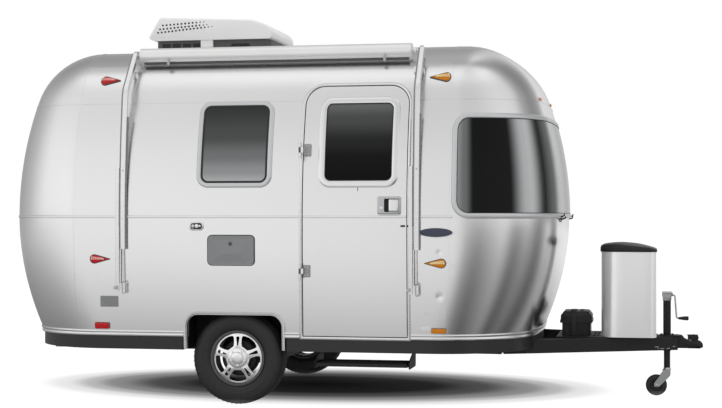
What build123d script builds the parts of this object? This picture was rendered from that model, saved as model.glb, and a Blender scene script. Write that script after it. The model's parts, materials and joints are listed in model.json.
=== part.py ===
"""Single-axle aluminium travel trailer, standing parked on its tongue jack.

Millimetres, +X towards the hitch, +Z up, floor at Z = 0.  The row origin is under the
middle of the overall length, on the centreline.  Fore-and-aft places are given as a
distance ahead of the axle and turned into X by ahead().  The curb side, with the entry
door, is at -Y.
"""
from build123d import *
from math import atan2, cos, degrees, radians, sin, sqrt
import os

os.makedirs("parts", exist_ok=True)

# ------------------------------------------------------------------ driving dimensions
AXLE_X = -685          # the axle, from the middle of the overall length
HALF_WIDTH = 1220      # body side at the belt
NOSE = 2240            # front of the body at the belt, ahead of the axle
TAIL = -1838           # rear of the body at the belt
BELT_Z = 1318          # widest line of the body
ROOF_Z = 2535          # flat top of the roof
SILL_Z = 475           # lower edge of the body panels
SKIRT_Z = 385          # lower edge of the black skirt
WALL = 50              # wall, from skin to inner lining
CORNER_R = 655         # plan radius of the body's corners at the belt
END_R = 6000           # plan radius of the bowed ends
BOW_OVERLAP = 300      # how far the bowed ends reach back into the straight middle
WALL_R = 2600          # radius of the upper wall, seen from the end
END_TUCK = 192         # how far the ends tuck in from belt to sill
SIDE_TUCK = 25         # how far the sides tuck in from belt to sill

RUN = 6                # shut line round doors and lids
TYRE_R = 325
TYRE_WIDTH = 205
WHEEL_Y = 1030         # middle of the tyre

DOOR = dict(rear=494, front=1216, low=496, high=2221, corner=130)
HINGE_Y = -1246        # vertical pin line of the entry door
HINGE_X = 480


def ahead(distance):
    """Row X of a point this far ahead of the axle."""
    return AXLE_X + distance


def upright(x, y, heading):
    """Vertical plane through (x, y): local x points along heading, local y is up."""
    turn = radians(heading)
    return Plane(origin=(x, y, 0), x_dir=(cos(turn), sin(turn), 0),
                 z_dir=(sin(turn), -cos(turn), 0))


# ---------------------------------------------------------------- body surface, by offset
ROOF_EDGE_R = ((WALL_R**2 - (WALL_R - CORNER_R)**2 - (ROOF_Z - BELT_Z)**2)
               / (2 * (WALL_R - (ROOF_Z - BELT_Z))))
EDGE_CENTRE_Z = ROOF_Z - ROOF_EDGE_R
EDGE_ANGLE = atan2(EDGE_CENTRE_Z - BELT_Z, WALL_R - CORNER_R)


def end_plan(tip, direction, inset, tuck_side):
    """Plan of one end: centre of its bow, of its corner, and the angle where they meet."""
    bow_r = END_R - inset
    corner_r = CORNER_R - inset
    bow_x = tip - direction * (bow_r + inset)
    corner_y = HALF_WIDTH - tuck_side - inset - corner_r
    corner_x = bow_x + direction * sqrt((bow_r - corner_r)**2 - corner_y**2)
    meet = atan2(corner_y, abs(corner_x - bow_x))
    return bow_x, corner_x, corner_y, meet


def plan_points(tip, direction, inset, tuck_side):
    """Points of one end's outline on the +Y side: side, corner middle, meeting, tip."""
    bow_x, corner_x, corner_y, meet = end_plan(tip, direction, inset, tuck_side)
    bow_r = END_R - inset
    corner_r = CORNER_R - inset
    middle = (meet + radians(90)) / 2
    side = (corner_x, corner_y + corner_r)
    corner = (corner_x + direction * corner_r * cos(middle), corner_y + corner_r * sin(middle))
    meeting = (bow_x + direction * bow_r * cos(meet), bow_r * sin(meet))
    return side, corner, meeting, (bow_x + direction * bow_r, 0)


def flip(point):
    """The same plan point on the other side."""
    return (point[0], -point[1])


def plan_sketch(height, inset, depth):
    """Closed plan of the body at a height; depth runs from 0 at the belt to 1 at the sill."""
    tuck_end = END_TUCK * depth**2
    tuck_side = SIDE_TUCK * depth**2
    front = plan_points(ahead(NOSE - tuck_end), 1, inset, tuck_side)
    rear = plan_points(ahead(TAIL + tuck_end), -1, inset, tuck_side)
    with BuildSketch(Plane.XY.offset(height)) as sketch:
        with BuildLine():
            Line(rear[0], front[0])
            ThreePointArc(front[0], front[1], front[2])
            ThreePointArc(front[2], front[3], flip(front[2]))
            ThreePointArc(flip(front[2]), flip(front[1]), flip(front[0]))
            Line(flip(front[0]), flip(rear[0]))
            ThreePointArc(flip(rear[0]), flip(rear[1]), flip(rear[2]))
            ThreePointArc(flip(rear[2]), rear[3], rear[2])
            ThreePointArc(rear[2], rear[1], rear[0])
        make_face()
    return sketch.sketch


def wall_profile(plane, start, base, inset):
    """Upper wall seen edge on, from local x = start: two tangent arcs up to the flat roof."""
    knee_r = ROOF_EDGE_R - inset
    knee = (base + knee_r * cos(EDGE_ANGLE), EDGE_CENTRE_Z + knee_r * sin(EDGE_ANGLE))
    low_turn = EDGE_ANGLE / 2
    low_middle = (base + CORNER_R - WALL_R + (WALL_R - inset) * cos(low_turn),
                  BELT_Z + (WALL_R - inset) * sin(low_turn))
    high_turn = (EDGE_ANGLE + radians(90)) / 2
    high_middle = (base + knee_r * cos(high_turn), EDGE_CENTRE_Z + knee_r * sin(high_turn))
    with BuildSketch(plane) as sketch:
        with BuildLine():
            Line((start, BELT_Z), (base + CORNER_R - inset, BELT_Z))
            ThreePointArc((base + CORNER_R - inset, BELT_Z), low_middle, knee)
            ThreePointArc(knee, high_middle, (base, ROOF_Z - inset))
            if start < base:
                Line((base, ROOF_Z - inset), (start, ROOF_Z - inset))
            Line((start, ROOF_Z - inset), (start, BELT_Z))
        make_face()
    return sketch.sketch


def body_solid(inset):
    """Whole body inside the surface that lies inset behind the outer skin."""
    front_bow, front_x, corner_y, meet = end_plan(ahead(NOSE), 1, inset, 0)
    rear_bow, rear_x, corner_y, meet = end_plan(ahead(TAIL), -1, inset, 0)
    quarter = 90 - degrees(meet)
    bow_base = END_R - CORNER_R
    with BuildPart() as upper:
        extrude(wall_profile(upright(rear_x, 0, -90), 0, corner_y, inset), amount=rear_x - front_x)
        for x, start in ((front_x, -90), (rear_x, 180 + degrees(meet))):
            revolve(wall_profile(upright(x, -corner_y, start), 0, 0, inset),
                    axis=Axis((x, -corner_y, 0), (0, 0, 1)), revolution_arc=quarter)
        for x, start in ((front_bow, -degrees(meet)), (rear_bow, 180)):
            revolve(wall_profile(upright(x, 0, start), bow_base - BOW_OVERLAP, bow_base, inset),
                    axis=Axis((x, 0, 0), (0, 0, 1)), revolution_arc=degrees(meet))
        mirror(about=Plane.XZ)
    with BuildPart() as whole:
        for depth in (1, 0.5, 0):
            add(plan_sketch(BELT_Z - depth * (BELT_Z - SILL_Z), inset, depth))
        loft()
        add(upper.part)
    return whole.part


# ------------------------------------------------------------------------ shape helpers
def middle(pair):
    """Middle of a low and a high value."""
    return (pair[0] + pair[1]) / 2


def span(pair):
    """Distance from a low value to a high one."""
    return pair[1] - pair[0]


def block(x, y, z, mode=Mode.ADD):
    """Box between low and high values along each axis."""
    with Locations((middle(x), middle(y), middle(z))):
        Box(span(x), span(y), span(z), mode=mode)


def side_prism(x, y, z, radius, mode=Mode.ADD):
    """Block whose corners are rounded in side view."""
    with BuildSketch(Plane.XZ.offset(-y[1])) as outline:
        with Locations((middle(x), middle(z))):
            RectangleRounded(span(x), span(z), radius)
    extrude(outline.sketch, amount=span(y), mode=mode)


def arched_prism(x, y, z, radius, mode=Mode.ADD):
    """Block whose two upper corners are rounded in side view."""
    with BuildSketch(Plane.XZ.offset(-y[1])) as outline:
        with Locations((middle(x), middle(z))):
            Rectangle(span(x), span(z))
        fillet(outline.vertices().group_by(Axis.Y)[-1], radius)
    extrude(outline.sketch, amount=span(y), mode=mode)


def end_prism(x, y, z, radius, mode=Mode.ADD):
    """Block whose corners are rounded in end view."""
    with BuildSketch(Plane.YZ.offset(x[0])) as outline:
        with Locations((middle(y), middle(z))):
            RectangleRounded(span(y), span(z), radius)
    extrude(outline.sketch, amount=span(x), mode=mode)


def rod(start, end, radius, mode=Mode.ADD):
    """Round bar between two points."""
    way = Vector(*end) - Vector(*start)
    with BuildSketch(Plane(origin=start, z_dir=way)) as circle:
        Circle(radius)
    extrude(circle.sketch, amount=way.length, mode=mode)


def grow(pair, margin):
    """Low and high values moved apart by a margin."""
    return (pair[0] - margin, pair[1] + margin)


def save(name, builder):
    """Label a finished piece and write it under its own name."""
    builder.part.label = name
    export_step(builder.part, f"parts/{name}.step")


# --------------------------------------------------------------------- nested body skins
FRAME_PROUD = 14       # window frames and lamps stand out this far
TRIM_PROUD = 9         # belt line, door frame and arch trims
GLASS_PROUD = 3        # back of the window glass
DOOR_SKIN = 6          # outer skin of the entry door, which laps over its frame
ARM_PROUD = (10, 38)   # awning arms lie between these distances off the skin

outer_body = body_solid(0)
inner_body = body_solid(WALL)
trim_body = body_solid(-TRIM_PROUD)
frame_body = body_solid(-FRAME_PROUD)
glass_body = body_solid(-GLASS_PROUD)
door_core_body = body_solid(DOOR_SKIN)



def layer(outside, inside):
    """Thin shell between two nested bodies."""
    with BuildPart() as sheet:
        add(outside)
        add(inside, mode=Mode.SUBTRACT)
    return sheet.part


shell = layer(outer_body, inner_body)
trim_layer = layer(trim_body, outer_body)
frame_layer = layer(frame_body, outer_body)
glass_layer = layer(trim_body, glass_body)
door_skin_layer = layer(outer_body, door_core_body)
door_core_layer = layer(door_core_body, inner_body)

CURB = (-1400, -300)
STREET = (300, 1400)
FAR = 4000             # longer than anything

# ------------------------------------------------------------------ openings in the body
DOOR_X = (ahead(DOOR["rear"]), ahead(DOOR["front"]))
DOOR_Z = (DOOR["low"], DOOR["high"])
SIDE_WINDOW_X = (ahead(-240), ahead(240))
SIDE_WINDOW_Z = (1548, 2096)
SIDE_WINDOW_R = 55
WINDOW_FRAME = 30
FRONT_WINDOW_X = (ahead(1557), ahead(2600))
FRONT_WINDOW_Z = (1338, 1990)
FRONT_WINDOW_R = 40
REAR_WINDOW_Y = (-480, 480)
REAR_WINDOW_Z = (1430, 1960)
HATCH_X = (ahead(-181), ahead(147))
HATCH_Z = (984, 1183)
HATCH_RIM = 15
ARCH_X = (ahead(-345), ahead(345))
ARCH_Z = (100, 638)
ARCH_R = 85
WELL_X = (ahead(-375), ahead(375))
WELL_DEPTH = 350       # inner wall of the wheel well, in from the body side
WELL_TOP = 765
SHEET = 4              # folded sheet of the wheel wells
REAR_SEAM_X = ahead(-1180)
FRONT_SEAM_X = ahead(1500)
DOORWAY_X = grow(DOOR_X, RUN)
DOORWAY_Z = grow(DOOR_Z, RUN)
DOORWAY_R = DOOR["corner"] + RUN


def cut_side_openings():
    """Cut the windows and wheel arches that both sides have."""
    for side in (CURB, STREET):
        side_prism(SIDE_WINDOW_X, side, SIDE_WINDOW_Z, SIDE_WINDOW_R, Mode.SUBTRACT)
        side_prism(ARCH_X, side, ARCH_Z, ARCH_R, Mode.SUBTRACT)


# --------------------------------------------------------------------------- body panels
with BuildPart() as wall_curb_rear:
    add(shell)
    block((REAR_SEAM_X, DOORWAY_X[0]), (-1400, -650), (SILL_Z, 2400), Mode.INTERSECT)
    cut_side_openings()
    side_prism(grow(HATCH_X, -HATCH_RIM), CURB, grow(HATCH_Z, -HATCH_RIM), 8, Mode.SUBTRACT)
    arched_prism(DOORWAY_X, CURB, DOORWAY_Z, DOORWAY_R, Mode.SUBTRACT)
save("wall_curb_rear", wall_curb_rear)

with BuildPart() as wall_curb_front:
    add(shell)
    block((DOORWAY_X[0], FRONT_SEAM_X), (-1400, -650), (SILL_Z, 2400), Mode.INTERSECT)
    arched_prism(DOORWAY_X, CURB, DOORWAY_Z, DOORWAY_R, Mode.SUBTRACT)
save("wall_curb_front", wall_curb_front)

with BuildPart() as wall_street:
    add(shell)
    block((REAR_SEAM_X, FRONT_SEAM_X), (650, 1400), (SILL_Z, 2400), Mode.INTERSECT)
    cut_side_openings()
save("wall_street", wall_street)

with BuildPart() as roof_panel:
    add(shell)
    block((REAR_SEAM_X, FRONT_SEAM_X), (-1400, 1400), (2400, 2700), Mode.INTERSECT)
save("roof_panel", roof_panel)

with BuildPart() as end_cap_front:
    add(shell)
    block((FRONT_SEAM_X, FAR), (-1400, 1400), (SILL_Z, 2700), Mode.INTERSECT)
    side_prism(FRONT_WINDOW_X, (-1400, 1400), FRONT_WINDOW_Z, FRONT_WINDOW_R, Mode.SUBTRACT)
save("end_cap_front", end_cap_front)

with BuildPart() as end_cap_rear:
    add(shell)
    block((-FAR, REAR_SEAM_X), (-1400, 1400), (SILL_Z, 2700), Mode.INTERSECT)
    end_prism((-FAR, ahead(-1500)), REAR_WINDOW_Y, REAR_WINDOW_Z, 55, Mode.SUBTRACT)
save("end_cap_rear", end_cap_rear)

# --------------------------------------------------------------------- windows and glass
WINDOW_FRAME = 30
FRONT_FRAME = 26
MULLION = 16
MULLION_TURN = 62      # joint between the corner panes and the middle pane, off the side


def side_ring(x, y, z, radius, margin):
    """Frame in side view: a rounded opening grown by a margin, less the opening."""
    with BuildPart() as ring:
        side_prism(grow(x, margin), y, grow(z, margin), radius + margin)
        side_prism(x, y, z, radius, Mode.SUBTRACT)
    return ring.part


def both_sides(x, z, radius, margin):
    """The same frame on the curb side and on the street side."""
    return side_ring(x, CURB, z, radius, margin) + side_ring(x, STREET, z, radius, margin)


front_bow, front_corner_x, corner_y, meet = end_plan(ahead(NOSE), 1, 0, 0)
wide = (-1400, 1400)
REAR_REACH = (-FAR, ahead(-1500))

with BuildPart() as window_holes:
    for side in (CURB, STREET):
        side_prism(SIDE_WINDOW_X, side, SIDE_WINDOW_Z, SIDE_WINDOW_R)
    side_prism(FRONT_WINDOW_X, wide, FRONT_WINDOW_Z, FRONT_WINDOW_R)
    end_prism(REAR_REACH, REAR_WINDOW_Y, REAR_WINDOW_Z, SIDE_WINDOW_R)
with BuildPart() as window_outlines:
    for side in (CURB, STREET):
        side_prism(grow(SIDE_WINDOW_X, WINDOW_FRAME), side, grow(SIDE_WINDOW_Z, WINDOW_FRAME),
                   SIDE_WINDOW_R + WINDOW_FRAME)
    side_prism(grow(FRONT_WINDOW_X, FRONT_FRAME), wide, grow(FRONT_WINDOW_Z, FRONT_FRAME),
               FRONT_WINDOW_R + FRONT_FRAME)
    end_prism(REAR_REACH, grow(REAR_WINDOW_Y, WINDOW_FRAME), grow(REAR_WINDOW_Z, WINDOW_FRAME),
              SIDE_WINDOW_R + WINDOW_FRAME)
with BuildPart() as mullions:
    for side in (1, -1):
        with Locations(Location((front_corner_x, side * corner_y, 0), (0, 0, side * MULLION_TURN))):
            Box(3 * CORNER_R, MULLION, FRONT_WINDOW_Z[1],
                align=(Align.MIN, Align.CENTER, Align.MIN))

with BuildPart() as window_frames:
    add(frame_layer)
    add(window_outlines.part, mode=Mode.INTERSECT)
    add(window_holes.part, mode=Mode.SUBTRACT)
save("window_frames", window_frames)

with BuildPart() as window_glass:
    add(glass_layer)
    add(window_holes.part, mode=Mode.INTERSECT)
    add(mullions.part, mode=Mode.SUBTRACT)
save("window_glass", window_glass)

with BuildPart() as window_mullions:
    add(frame_layer)
    add(window_holes.part, mode=Mode.INTERSECT)
    add(mullions.part, mode=Mode.INTERSECT)
save("window_mullions", window_mullions)

# ------------------------------------------------------------------- trims round the body
BELT_TRIM_Z = (BELT_Z - 9, BELT_Z + 9)
RUB_RAIL_Z = (SILL_Z, 518)
DOOR_FRAME = 20
ARCH_TRIM = 20
DOOR_FRAME_X = grow(DOORWAY_X, DOOR_FRAME)
FRONT_FRAME_X = FRONT_WINDOW_X[0] - FRONT_FRAME

with BuildPart() as belt_trim:
    add(trim_layer)
    block((-FAR, FRONT_FRAME_X), wide, BELT_TRIM_Z, Mode.INTERSECT)
    block(DOOR_FRAME_X, CURB, BELT_TRIM_Z, Mode.SUBTRACT)
save("belt_trim", belt_trim)

with BuildPart() as rub_rail:
    add(frame_layer)
    block((-FAR, FAR), wide, RUB_RAIL_Z, Mode.INTERSECT)
    block(DOOR_FRAME_X, CURB, RUB_RAIL_Z, Mode.SUBTRACT)
    block(grow(ARCH_X, ARCH_TRIM), wide, RUB_RAIL_Z, Mode.SUBTRACT)
save("rub_rail", rub_rail)

with BuildPart() as door_ring:
    arched_prism(DOOR_FRAME_X, CURB, grow(DOORWAY_Z, DOOR_FRAME), DOORWAY_R + DOOR_FRAME)
    arched_prism(DOORWAY_X, CURB, DOORWAY_Z, DOORWAY_R, Mode.SUBTRACT)
arch_rings = both_sides(ARCH_X, ARCH_Z, ARCH_R, ARCH_TRIM)
with BuildPart() as arch_trims:
    add(frame_layer)
    add(arch_rings, mode=Mode.INTERSECT)
save("arch_trims", arch_trims)

# --------------------------------------------------------------------------- entry door
DOOR_GLASS_X = (ahead(644), ahead(1112))
DOOR_GLASS_Z = (1562, 2100)
DOOR_GLASS_R = 42
DOOR_SURROUND = 45
CORE_X = (DOOR_X[0] + 12, DOOR_X[1] - 30)
CORE_Z = (DOOR_Z[0] + 10, DOOR_Z[1] - 30)
LATCH_X = (ahead(1016), ahead(1178))
LATCH_Z = (1332, 1455)
HINGE_ROWS = (942, 1775)       # middles of the two hinges
KNUCKLE = 36                   # length of each of a hinge's three knuckles
KNUCKLE_R = 9
PIN_R = 4
PIN_GAP = 0.1
PIN_X = ahead(HINGE_X)

with BuildPart() as door_core:
    add(door_core_layer)
    arched_prism(CORE_X, CURB, CORE_Z, DOOR["corner"] - 30, Mode.INTERSECT)
with BuildPart() as door_belt:
    add(trim_layer)
    block(DOOR_X, CURB, BELT_TRIM_Z, Mode.INTERSECT)
with BuildPart() as entry_door:
    add(door_skin_layer)
    arched_prism(DOOR_X, CURB, DOOR_Z, DOOR["corner"], Mode.INTERSECT)
    add(door_core.part)
    add(door_belt.part)
    side_prism(DOOR_GLASS_X, CURB, DOOR_GLASS_Z, DOOR_GLASS_R, Mode.SUBTRACT)
save("entry_door", entry_door)

with BuildPart() as door_glass:
    add(door_skin_layer)
    side_prism(DOOR_GLASS_X, CURB, DOOR_GLASS_Z, DOOR_GLASS_R, Mode.INTERSECT)
save("door_glass", door_glass)

door_surround_ring = side_ring(DOOR_GLASS_X, CURB, DOOR_GLASS_Z, DOOR_GLASS_R, DOOR_SURROUND)
with BuildPart() as door_window_frame:
    add(frame_layer)
    add(door_surround_ring, mode=Mode.INTERSECT)
save("door_window_frame", door_window_frame)

with BuildPart() as door_hardware:
    for z in HINGE_ROWS:
        block((PIN_X + 14, PIN_X + 66), (HINGE_Y, -1200), (z - 54, z + 54))
        block((PIN_X, PIN_X + 30), (HINGE_Y - 5, HINGE_Y + 5), (z - KNUCKLE / 2, z + KNUCKLE / 2))
        rod((PIN_X, HINGE_Y, z - KNUCKLE / 2), (PIN_X, HINGE_Y, z + KNUCKLE / 2), KNUCKLE_R)
    block((PIN_X + 26, PIN_X + 80), (HINGE_Y - 20, -1226), (0, 2500), Mode.SUBTRACT)
    for z in HINGE_ROWS:
        rod((PIN_X, HINGE_Y, z - KNUCKLE / 2), (PIN_X, HINGE_Y, z + KNUCKLE / 2),
            PIN_R + PIN_GAP, Mode.SUBTRACT)
    side_prism(LATCH_X, (-1240, -1200), LATCH_Z, 12)
    add(outer_body, mode=Mode.SUBTRACT)
    add(door_belt.part, mode=Mode.SUBTRACT)
save("door_hardware", door_hardware)

with BuildPart() as brackets:
    for z in HINGE_ROWS:
        rod((PIN_X, HINGE_Y, z - 1.5 * KNUCKLE), (PIN_X, HINGE_Y, z + 1.5 * KNUCKLE), PIN_R)
        for low, high in ((-1.5, -0.52), (0.52, 1.5)):
            rod((PIN_X, HINGE_Y, z + low * KNUCKLE), (PIN_X, HINGE_Y, z + high * KNUCKLE), KNUCKLE_R)
            block((PIN_X - 11, PIN_X + 4), (HINGE_Y - 4, -1200), (z + low * KNUCKLE, z + high * KNUCKLE))
    add(outer_body, mode=Mode.SUBTRACT)
with BuildPart() as door_frame:
    add(trim_layer)
    add(door_ring.part, mode=Mode.INTERSECT)
    add(brackets.part)
save("door_frame", door_frame)

# ------------------------------------------------------------------------ service hatch
HATCH_Y = (-1231, -1221.5)
HATCH_PIN_Z = HATCH_Z[1] + 6
with BuildPart() as service_hatch:
    side_prism(HATCH_X, HATCH_Y, HATCH_Z, 12)
save("service_hatch", service_hatch)

# ------------------------------------------------------------------- underbody and chassis
SKIRT_WALL = 30
DECK_Z = (440, SILL_Z)
RAIL_Z = (340, 440)
RAIL_Y = (575, 625)
RAIL_X = (ahead(-1550), ahead(1780))
CHANNEL = 6            # web and flanges of the chassis rails
WELL_Y = (HALF_WIDTH - WELL_DEPTH, HALF_WIDTH + 40)
CROSS_MEMBERS = (-1545, -950, -330, 900)

with BuildPart() as floor_deck:
    extrude(plan_sketch(DECK_Z[0], SKIRT_WALL, 1), amount=span(DECK_Z))
    block(WELL_X, WELL_Y, DECK_Z, Mode.SUBTRACT)
    block(WELL_X, (-WELL_Y[1], -WELL_Y[0]), DECK_Z, Mode.SUBTRACT)
save("floor_deck", floor_deck)

with BuildPart() as wheel_wells:
    for side in (-1, 1):
        outer_y = sorted((side * WELL_Y[0], side * (HALF_WIDTH - SIDE_TUCK)))
        inner_y = sorted((side * (WELL_Y[0] + SHEET), side * 1400))
        block(WELL_X, outer_y, (SKIRT_Z, WELL_TOP))
        block(grow(WELL_X, -SHEET), inner_y, (SKIRT_Z - 10, WELL_TOP - SHEET), Mode.SUBTRACT)
    add(shell, mode=Mode.SUBTRACT)
save("wheel_wells", wheel_wells)

with BuildPart() as chassis_rails:
    for side in (1, -1):
        y = sorted((side * RAIL_Y[0], side * RAIL_Y[1]))
        hollow = sorted((side * (RAIL_Y[0] - 10), side * (RAIL_Y[1] - CHANNEL)))
        block(RAIL_X, y, RAIL_Z)
        block(RAIL_X, hollow, grow(RAIL_Z, -CHANNEL), Mode.SUBTRACT)
save("chassis_rails", chassis_rails)

with BuildPart() as cross_members:
    for x in CROSS_MEMBERS:
        block((ahead(x), ahead(x) + 50), (-RAIL_Y[0], RAIL_Y[0]), (RAIL_Z[0] + 15, RAIL_Z[1]))
        block((ahead(x) + 5, ahead(x) + 60), (-RAIL_Y[0], RAIL_Y[0]),
              (RAIL_Z[0] + 20, RAIL_Z[1] - 5), Mode.SUBTRACT)
    block((RAIL_X[1], RAIL_X[1] + 22), (-RAIL_Y[1] - 10, RAIL_Y[1] + 10), RAIL_Z)
save("cross_members", cross_members)

# ------------------------------------------------------------------------- tongue, A-frame
JACK_X = ahead(2963)
A_ANGLE = 25
A_HALF = 25            # half the width of an A-frame rail
A_START = (ahead(1816), 600)
A_END_Y = 29
SKEW = radians(A_ANGLE)
A_END = (A_START[0] + (A_START[1] - A_END_Y) * cos(SKEW) / sin(SKEW), A_END_Y)
COUPLER_TIP = ahead(3222)
BALL_R = 25.7
COUPLER_Z = (352, 412)

with BuildPart() as a_frame_rails:
    for side in (-1, 1):
        with BuildSketch(Plane.XY.offset(RAIL_Z[0])) as strip:
            with BuildLine():
                Polyline((A_START[0], side * (A_START[1] - A_HALF / cos(SKEW))),
                         (A_START[0], side * (A_START[1] + A_HALF / cos(SKEW))),
                         (A_END[0], side * (A_END_Y + A_HALF / cos(SKEW))),
                         (A_END[0], side * (A_END_Y - A_HALF / cos(SKEW))), close=True)
            make_face()
        extrude(strip.sketch, amount=span(RAIL_Z))
save("a_frame_rails", a_frame_rails)

with BuildPart() as skirt:
    extrude(plan_sketch(SKIRT_Z, 0, 1), amount=SILL_Z - SKIRT_Z)
    extrude(plan_sketch(SKIRT_Z, SKIRT_WALL, 1), amount=SILL_Z - SKIRT_Z, mode=Mode.SUBTRACT)
    block(WELL_X, wide, (SKIRT_Z, SILL_Z), Mode.SUBTRACT)
    add(a_frame_rails.part, mode=Mode.SUBTRACT)
save("skirt", skirt)

TRAY_Z = (RAIL_Z[1], RAIL_Z[1] + 6)
with BuildPart() as tongue_tray:
    with BuildSketch(Plane.XY.offset(TRAY_Z[0])) as plate:
        with BuildLine():
            Polyline((ahead(2170), -300), (ahead(2490), -300), (ahead(2900), -90),
                     (ahead(2900), 90), (ahead(2490), 300), (ahead(2170), 300), close=True)
        make_face()
    extrude(plate.sketch, amount=span(TRAY_Z))
save("tongue_tray", tongue_tray)

JACK_TUBE_R = 28
with BuildPart() as coupler:
    block((A_END[0], COUPLER_TIP - 38), (-38, 38), COUPLER_Z)
    with BuildSketch(Plane.XY.offset(COUPLER_Z[0])) as nose:
        with Locations((COUPLER_TIP - 38, 0)):
            Circle(38)
    extrude(nose.sketch, amount=span(COUPLER_Z))
    block((A_END[0], A_END[0] + 40), (-38, 38), (COUPLER_Z[0], RAIL_Z[1] + 8))
    block((JACK_X - 55, A_END[0] + 10), (-70, 70), (RAIL_Z[1], RAIL_Z[1] + 8))
    rod((JACK_X, 0, 300), (JACK_X, 0, 500), JACK_TUBE_R, Mode.SUBTRACT)
    rod((COUPLER_TIP - 38, 0, COUPLER_Z[0]), (COUPLER_TIP - 38, 0, COUPLER_Z[1] - 12),
        BALL_R, Mode.SUBTRACT)
    block((COUPLER_TIP - 110, COUPLER_TIP - 30), (-10, 10), (COUPLER_Z[1], COUPLER_Z[1] + 40))
save("coupler", coupler)

# -------------------------------------------------------------------------- tongue jack
JACK_LEG_R = 23
CRANK_Z = (570, 730)   # the crank's grip and its shaft
CRANK_R = 8
GRIP_R = 16
CASTER_R = 77
CASTER_TRAIL = 77
CASTER_WIDTH = 46
FORK_TOP = 208
with BuildPart() as jack_tube:
    rod((JACK_X, 0, 330), (JACK_X, 0, 760), JACK_TUBE_R)
    rod((JACK_X, 0, 320), (JACK_X, 0, 745), JACK_LEG_R + 0.3, Mode.SUBTRACT)
    block((JACK_X - 34, JACK_X + 34), (-32, 32), (745, 766))
    rod((JACK_X + 20, 0, CRANK_Z[1]), (JACK_X + 50, 0, CRANK_Z[1]), CRANK_R)
    rod((JACK_X + 44, 0, CRANK_Z[1] + 6), (JACK_X + 72, 0, CRANK_Z[0] - 6), CRANK_R)
    rod((JACK_X + 70, 0, CRANK_Z[0]), (JACK_X + 156, 0, CRANK_Z[0]), GRIP_R)
    rod((JACK_X, 0, 320), (JACK_X, 0, 745), JACK_LEG_R + 0.3, Mode.SUBTRACT)
save("jack_tube", jack_tube)

with BuildPart() as jack_leg:
    rod((JACK_X, 0, FORK_TOP), (JACK_X, 0, 640), JACK_LEG_R)
save("jack_leg", jack_leg)

CASTER_X = JACK_X - CASTER_TRAIL
AXLE_PIN_R = 6
with BuildPart() as jack_fork:
    rod((JACK_X, 0, FORK_TOP - 16), (JACK_X, 0, FORK_TOP), 32)
    block((CASTER_X - 18, JACK_X + 26), (-35, 35), (FORK_TOP - 22, FORK_TOP - 16))
    for side in (1, -1):
        cheek_y = 33 * side
        with BuildSketch(Plane.XZ.offset(-cheek_y - 3)) as cheek:
            with BuildLine():
                Polyline((CASTER_X - 18, CASTER_R), (CASTER_X - 18, FORK_TOP - 18),
                         (JACK_X + 26, FORK_TOP - 18), (CASTER_X + 18, CASTER_R - 10), close=True)
            make_face()
        extrude(cheek.sketch, amount=6)
    rod((CASTER_X, -36, CASTER_R), (CASTER_X, 36, CASTER_R), AXLE_PIN_R)
save("jack_fork", jack_fork)

with BuildPart() as jack_wheel:
    rod((CASTER_X, -CASTER_WIDTH / 2, CASTER_R), (CASTER_X, CASTER_WIDTH / 2, CASTER_R), CASTER_R)
    fillet(jack_wheel.edges().filter_by(GeomType.CIRCLE), 12)
    rod((CASTER_X, -CASTER_WIDTH, CASTER_R), (CASTER_X, CASTER_WIDTH, CASTER_R),
        AXLE_PIN_R + 0.05, Mode.SUBTRACT)
save("jack_wheel", jack_wheel)

# ----------------------------------------------------------------------- axle and wheels
BEAM_X = ahead(150)
BEAM_Z = 305
BEAM_HALF = 35
ARM_Y = (870, 900)
SPINDLE_R = 20
SPINDLE_END = 1075
with BuildPart() as axle:
    block((BEAM_X - BEAM_HALF, BEAM_X + BEAM_HALF), (-ARM_Y[0], ARM_Y[0]),
          (BEAM_Z - BEAM_HALF, BEAM_Z + BEAM_HALF))
    for side in (1, -1):
        outboard = max(side * ARM_Y[0], side * ARM_Y[1])
        with BuildSketch(Plane.XZ.offset(-outboard)) as arm:
            with Locations((BEAM_X, BEAM_Z), (AXLE_X, TYRE_R)):
                Circle(35)
            make_hull()
        extrude(arm.sketch, amount=span(ARM_Y))
        rod((AXLE_X, side * ARM_Y[1], TYRE_R), (AXLE_X, side * SPINDLE_END, TYRE_R), SPINDLE_R)
save("axle", axle)

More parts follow.
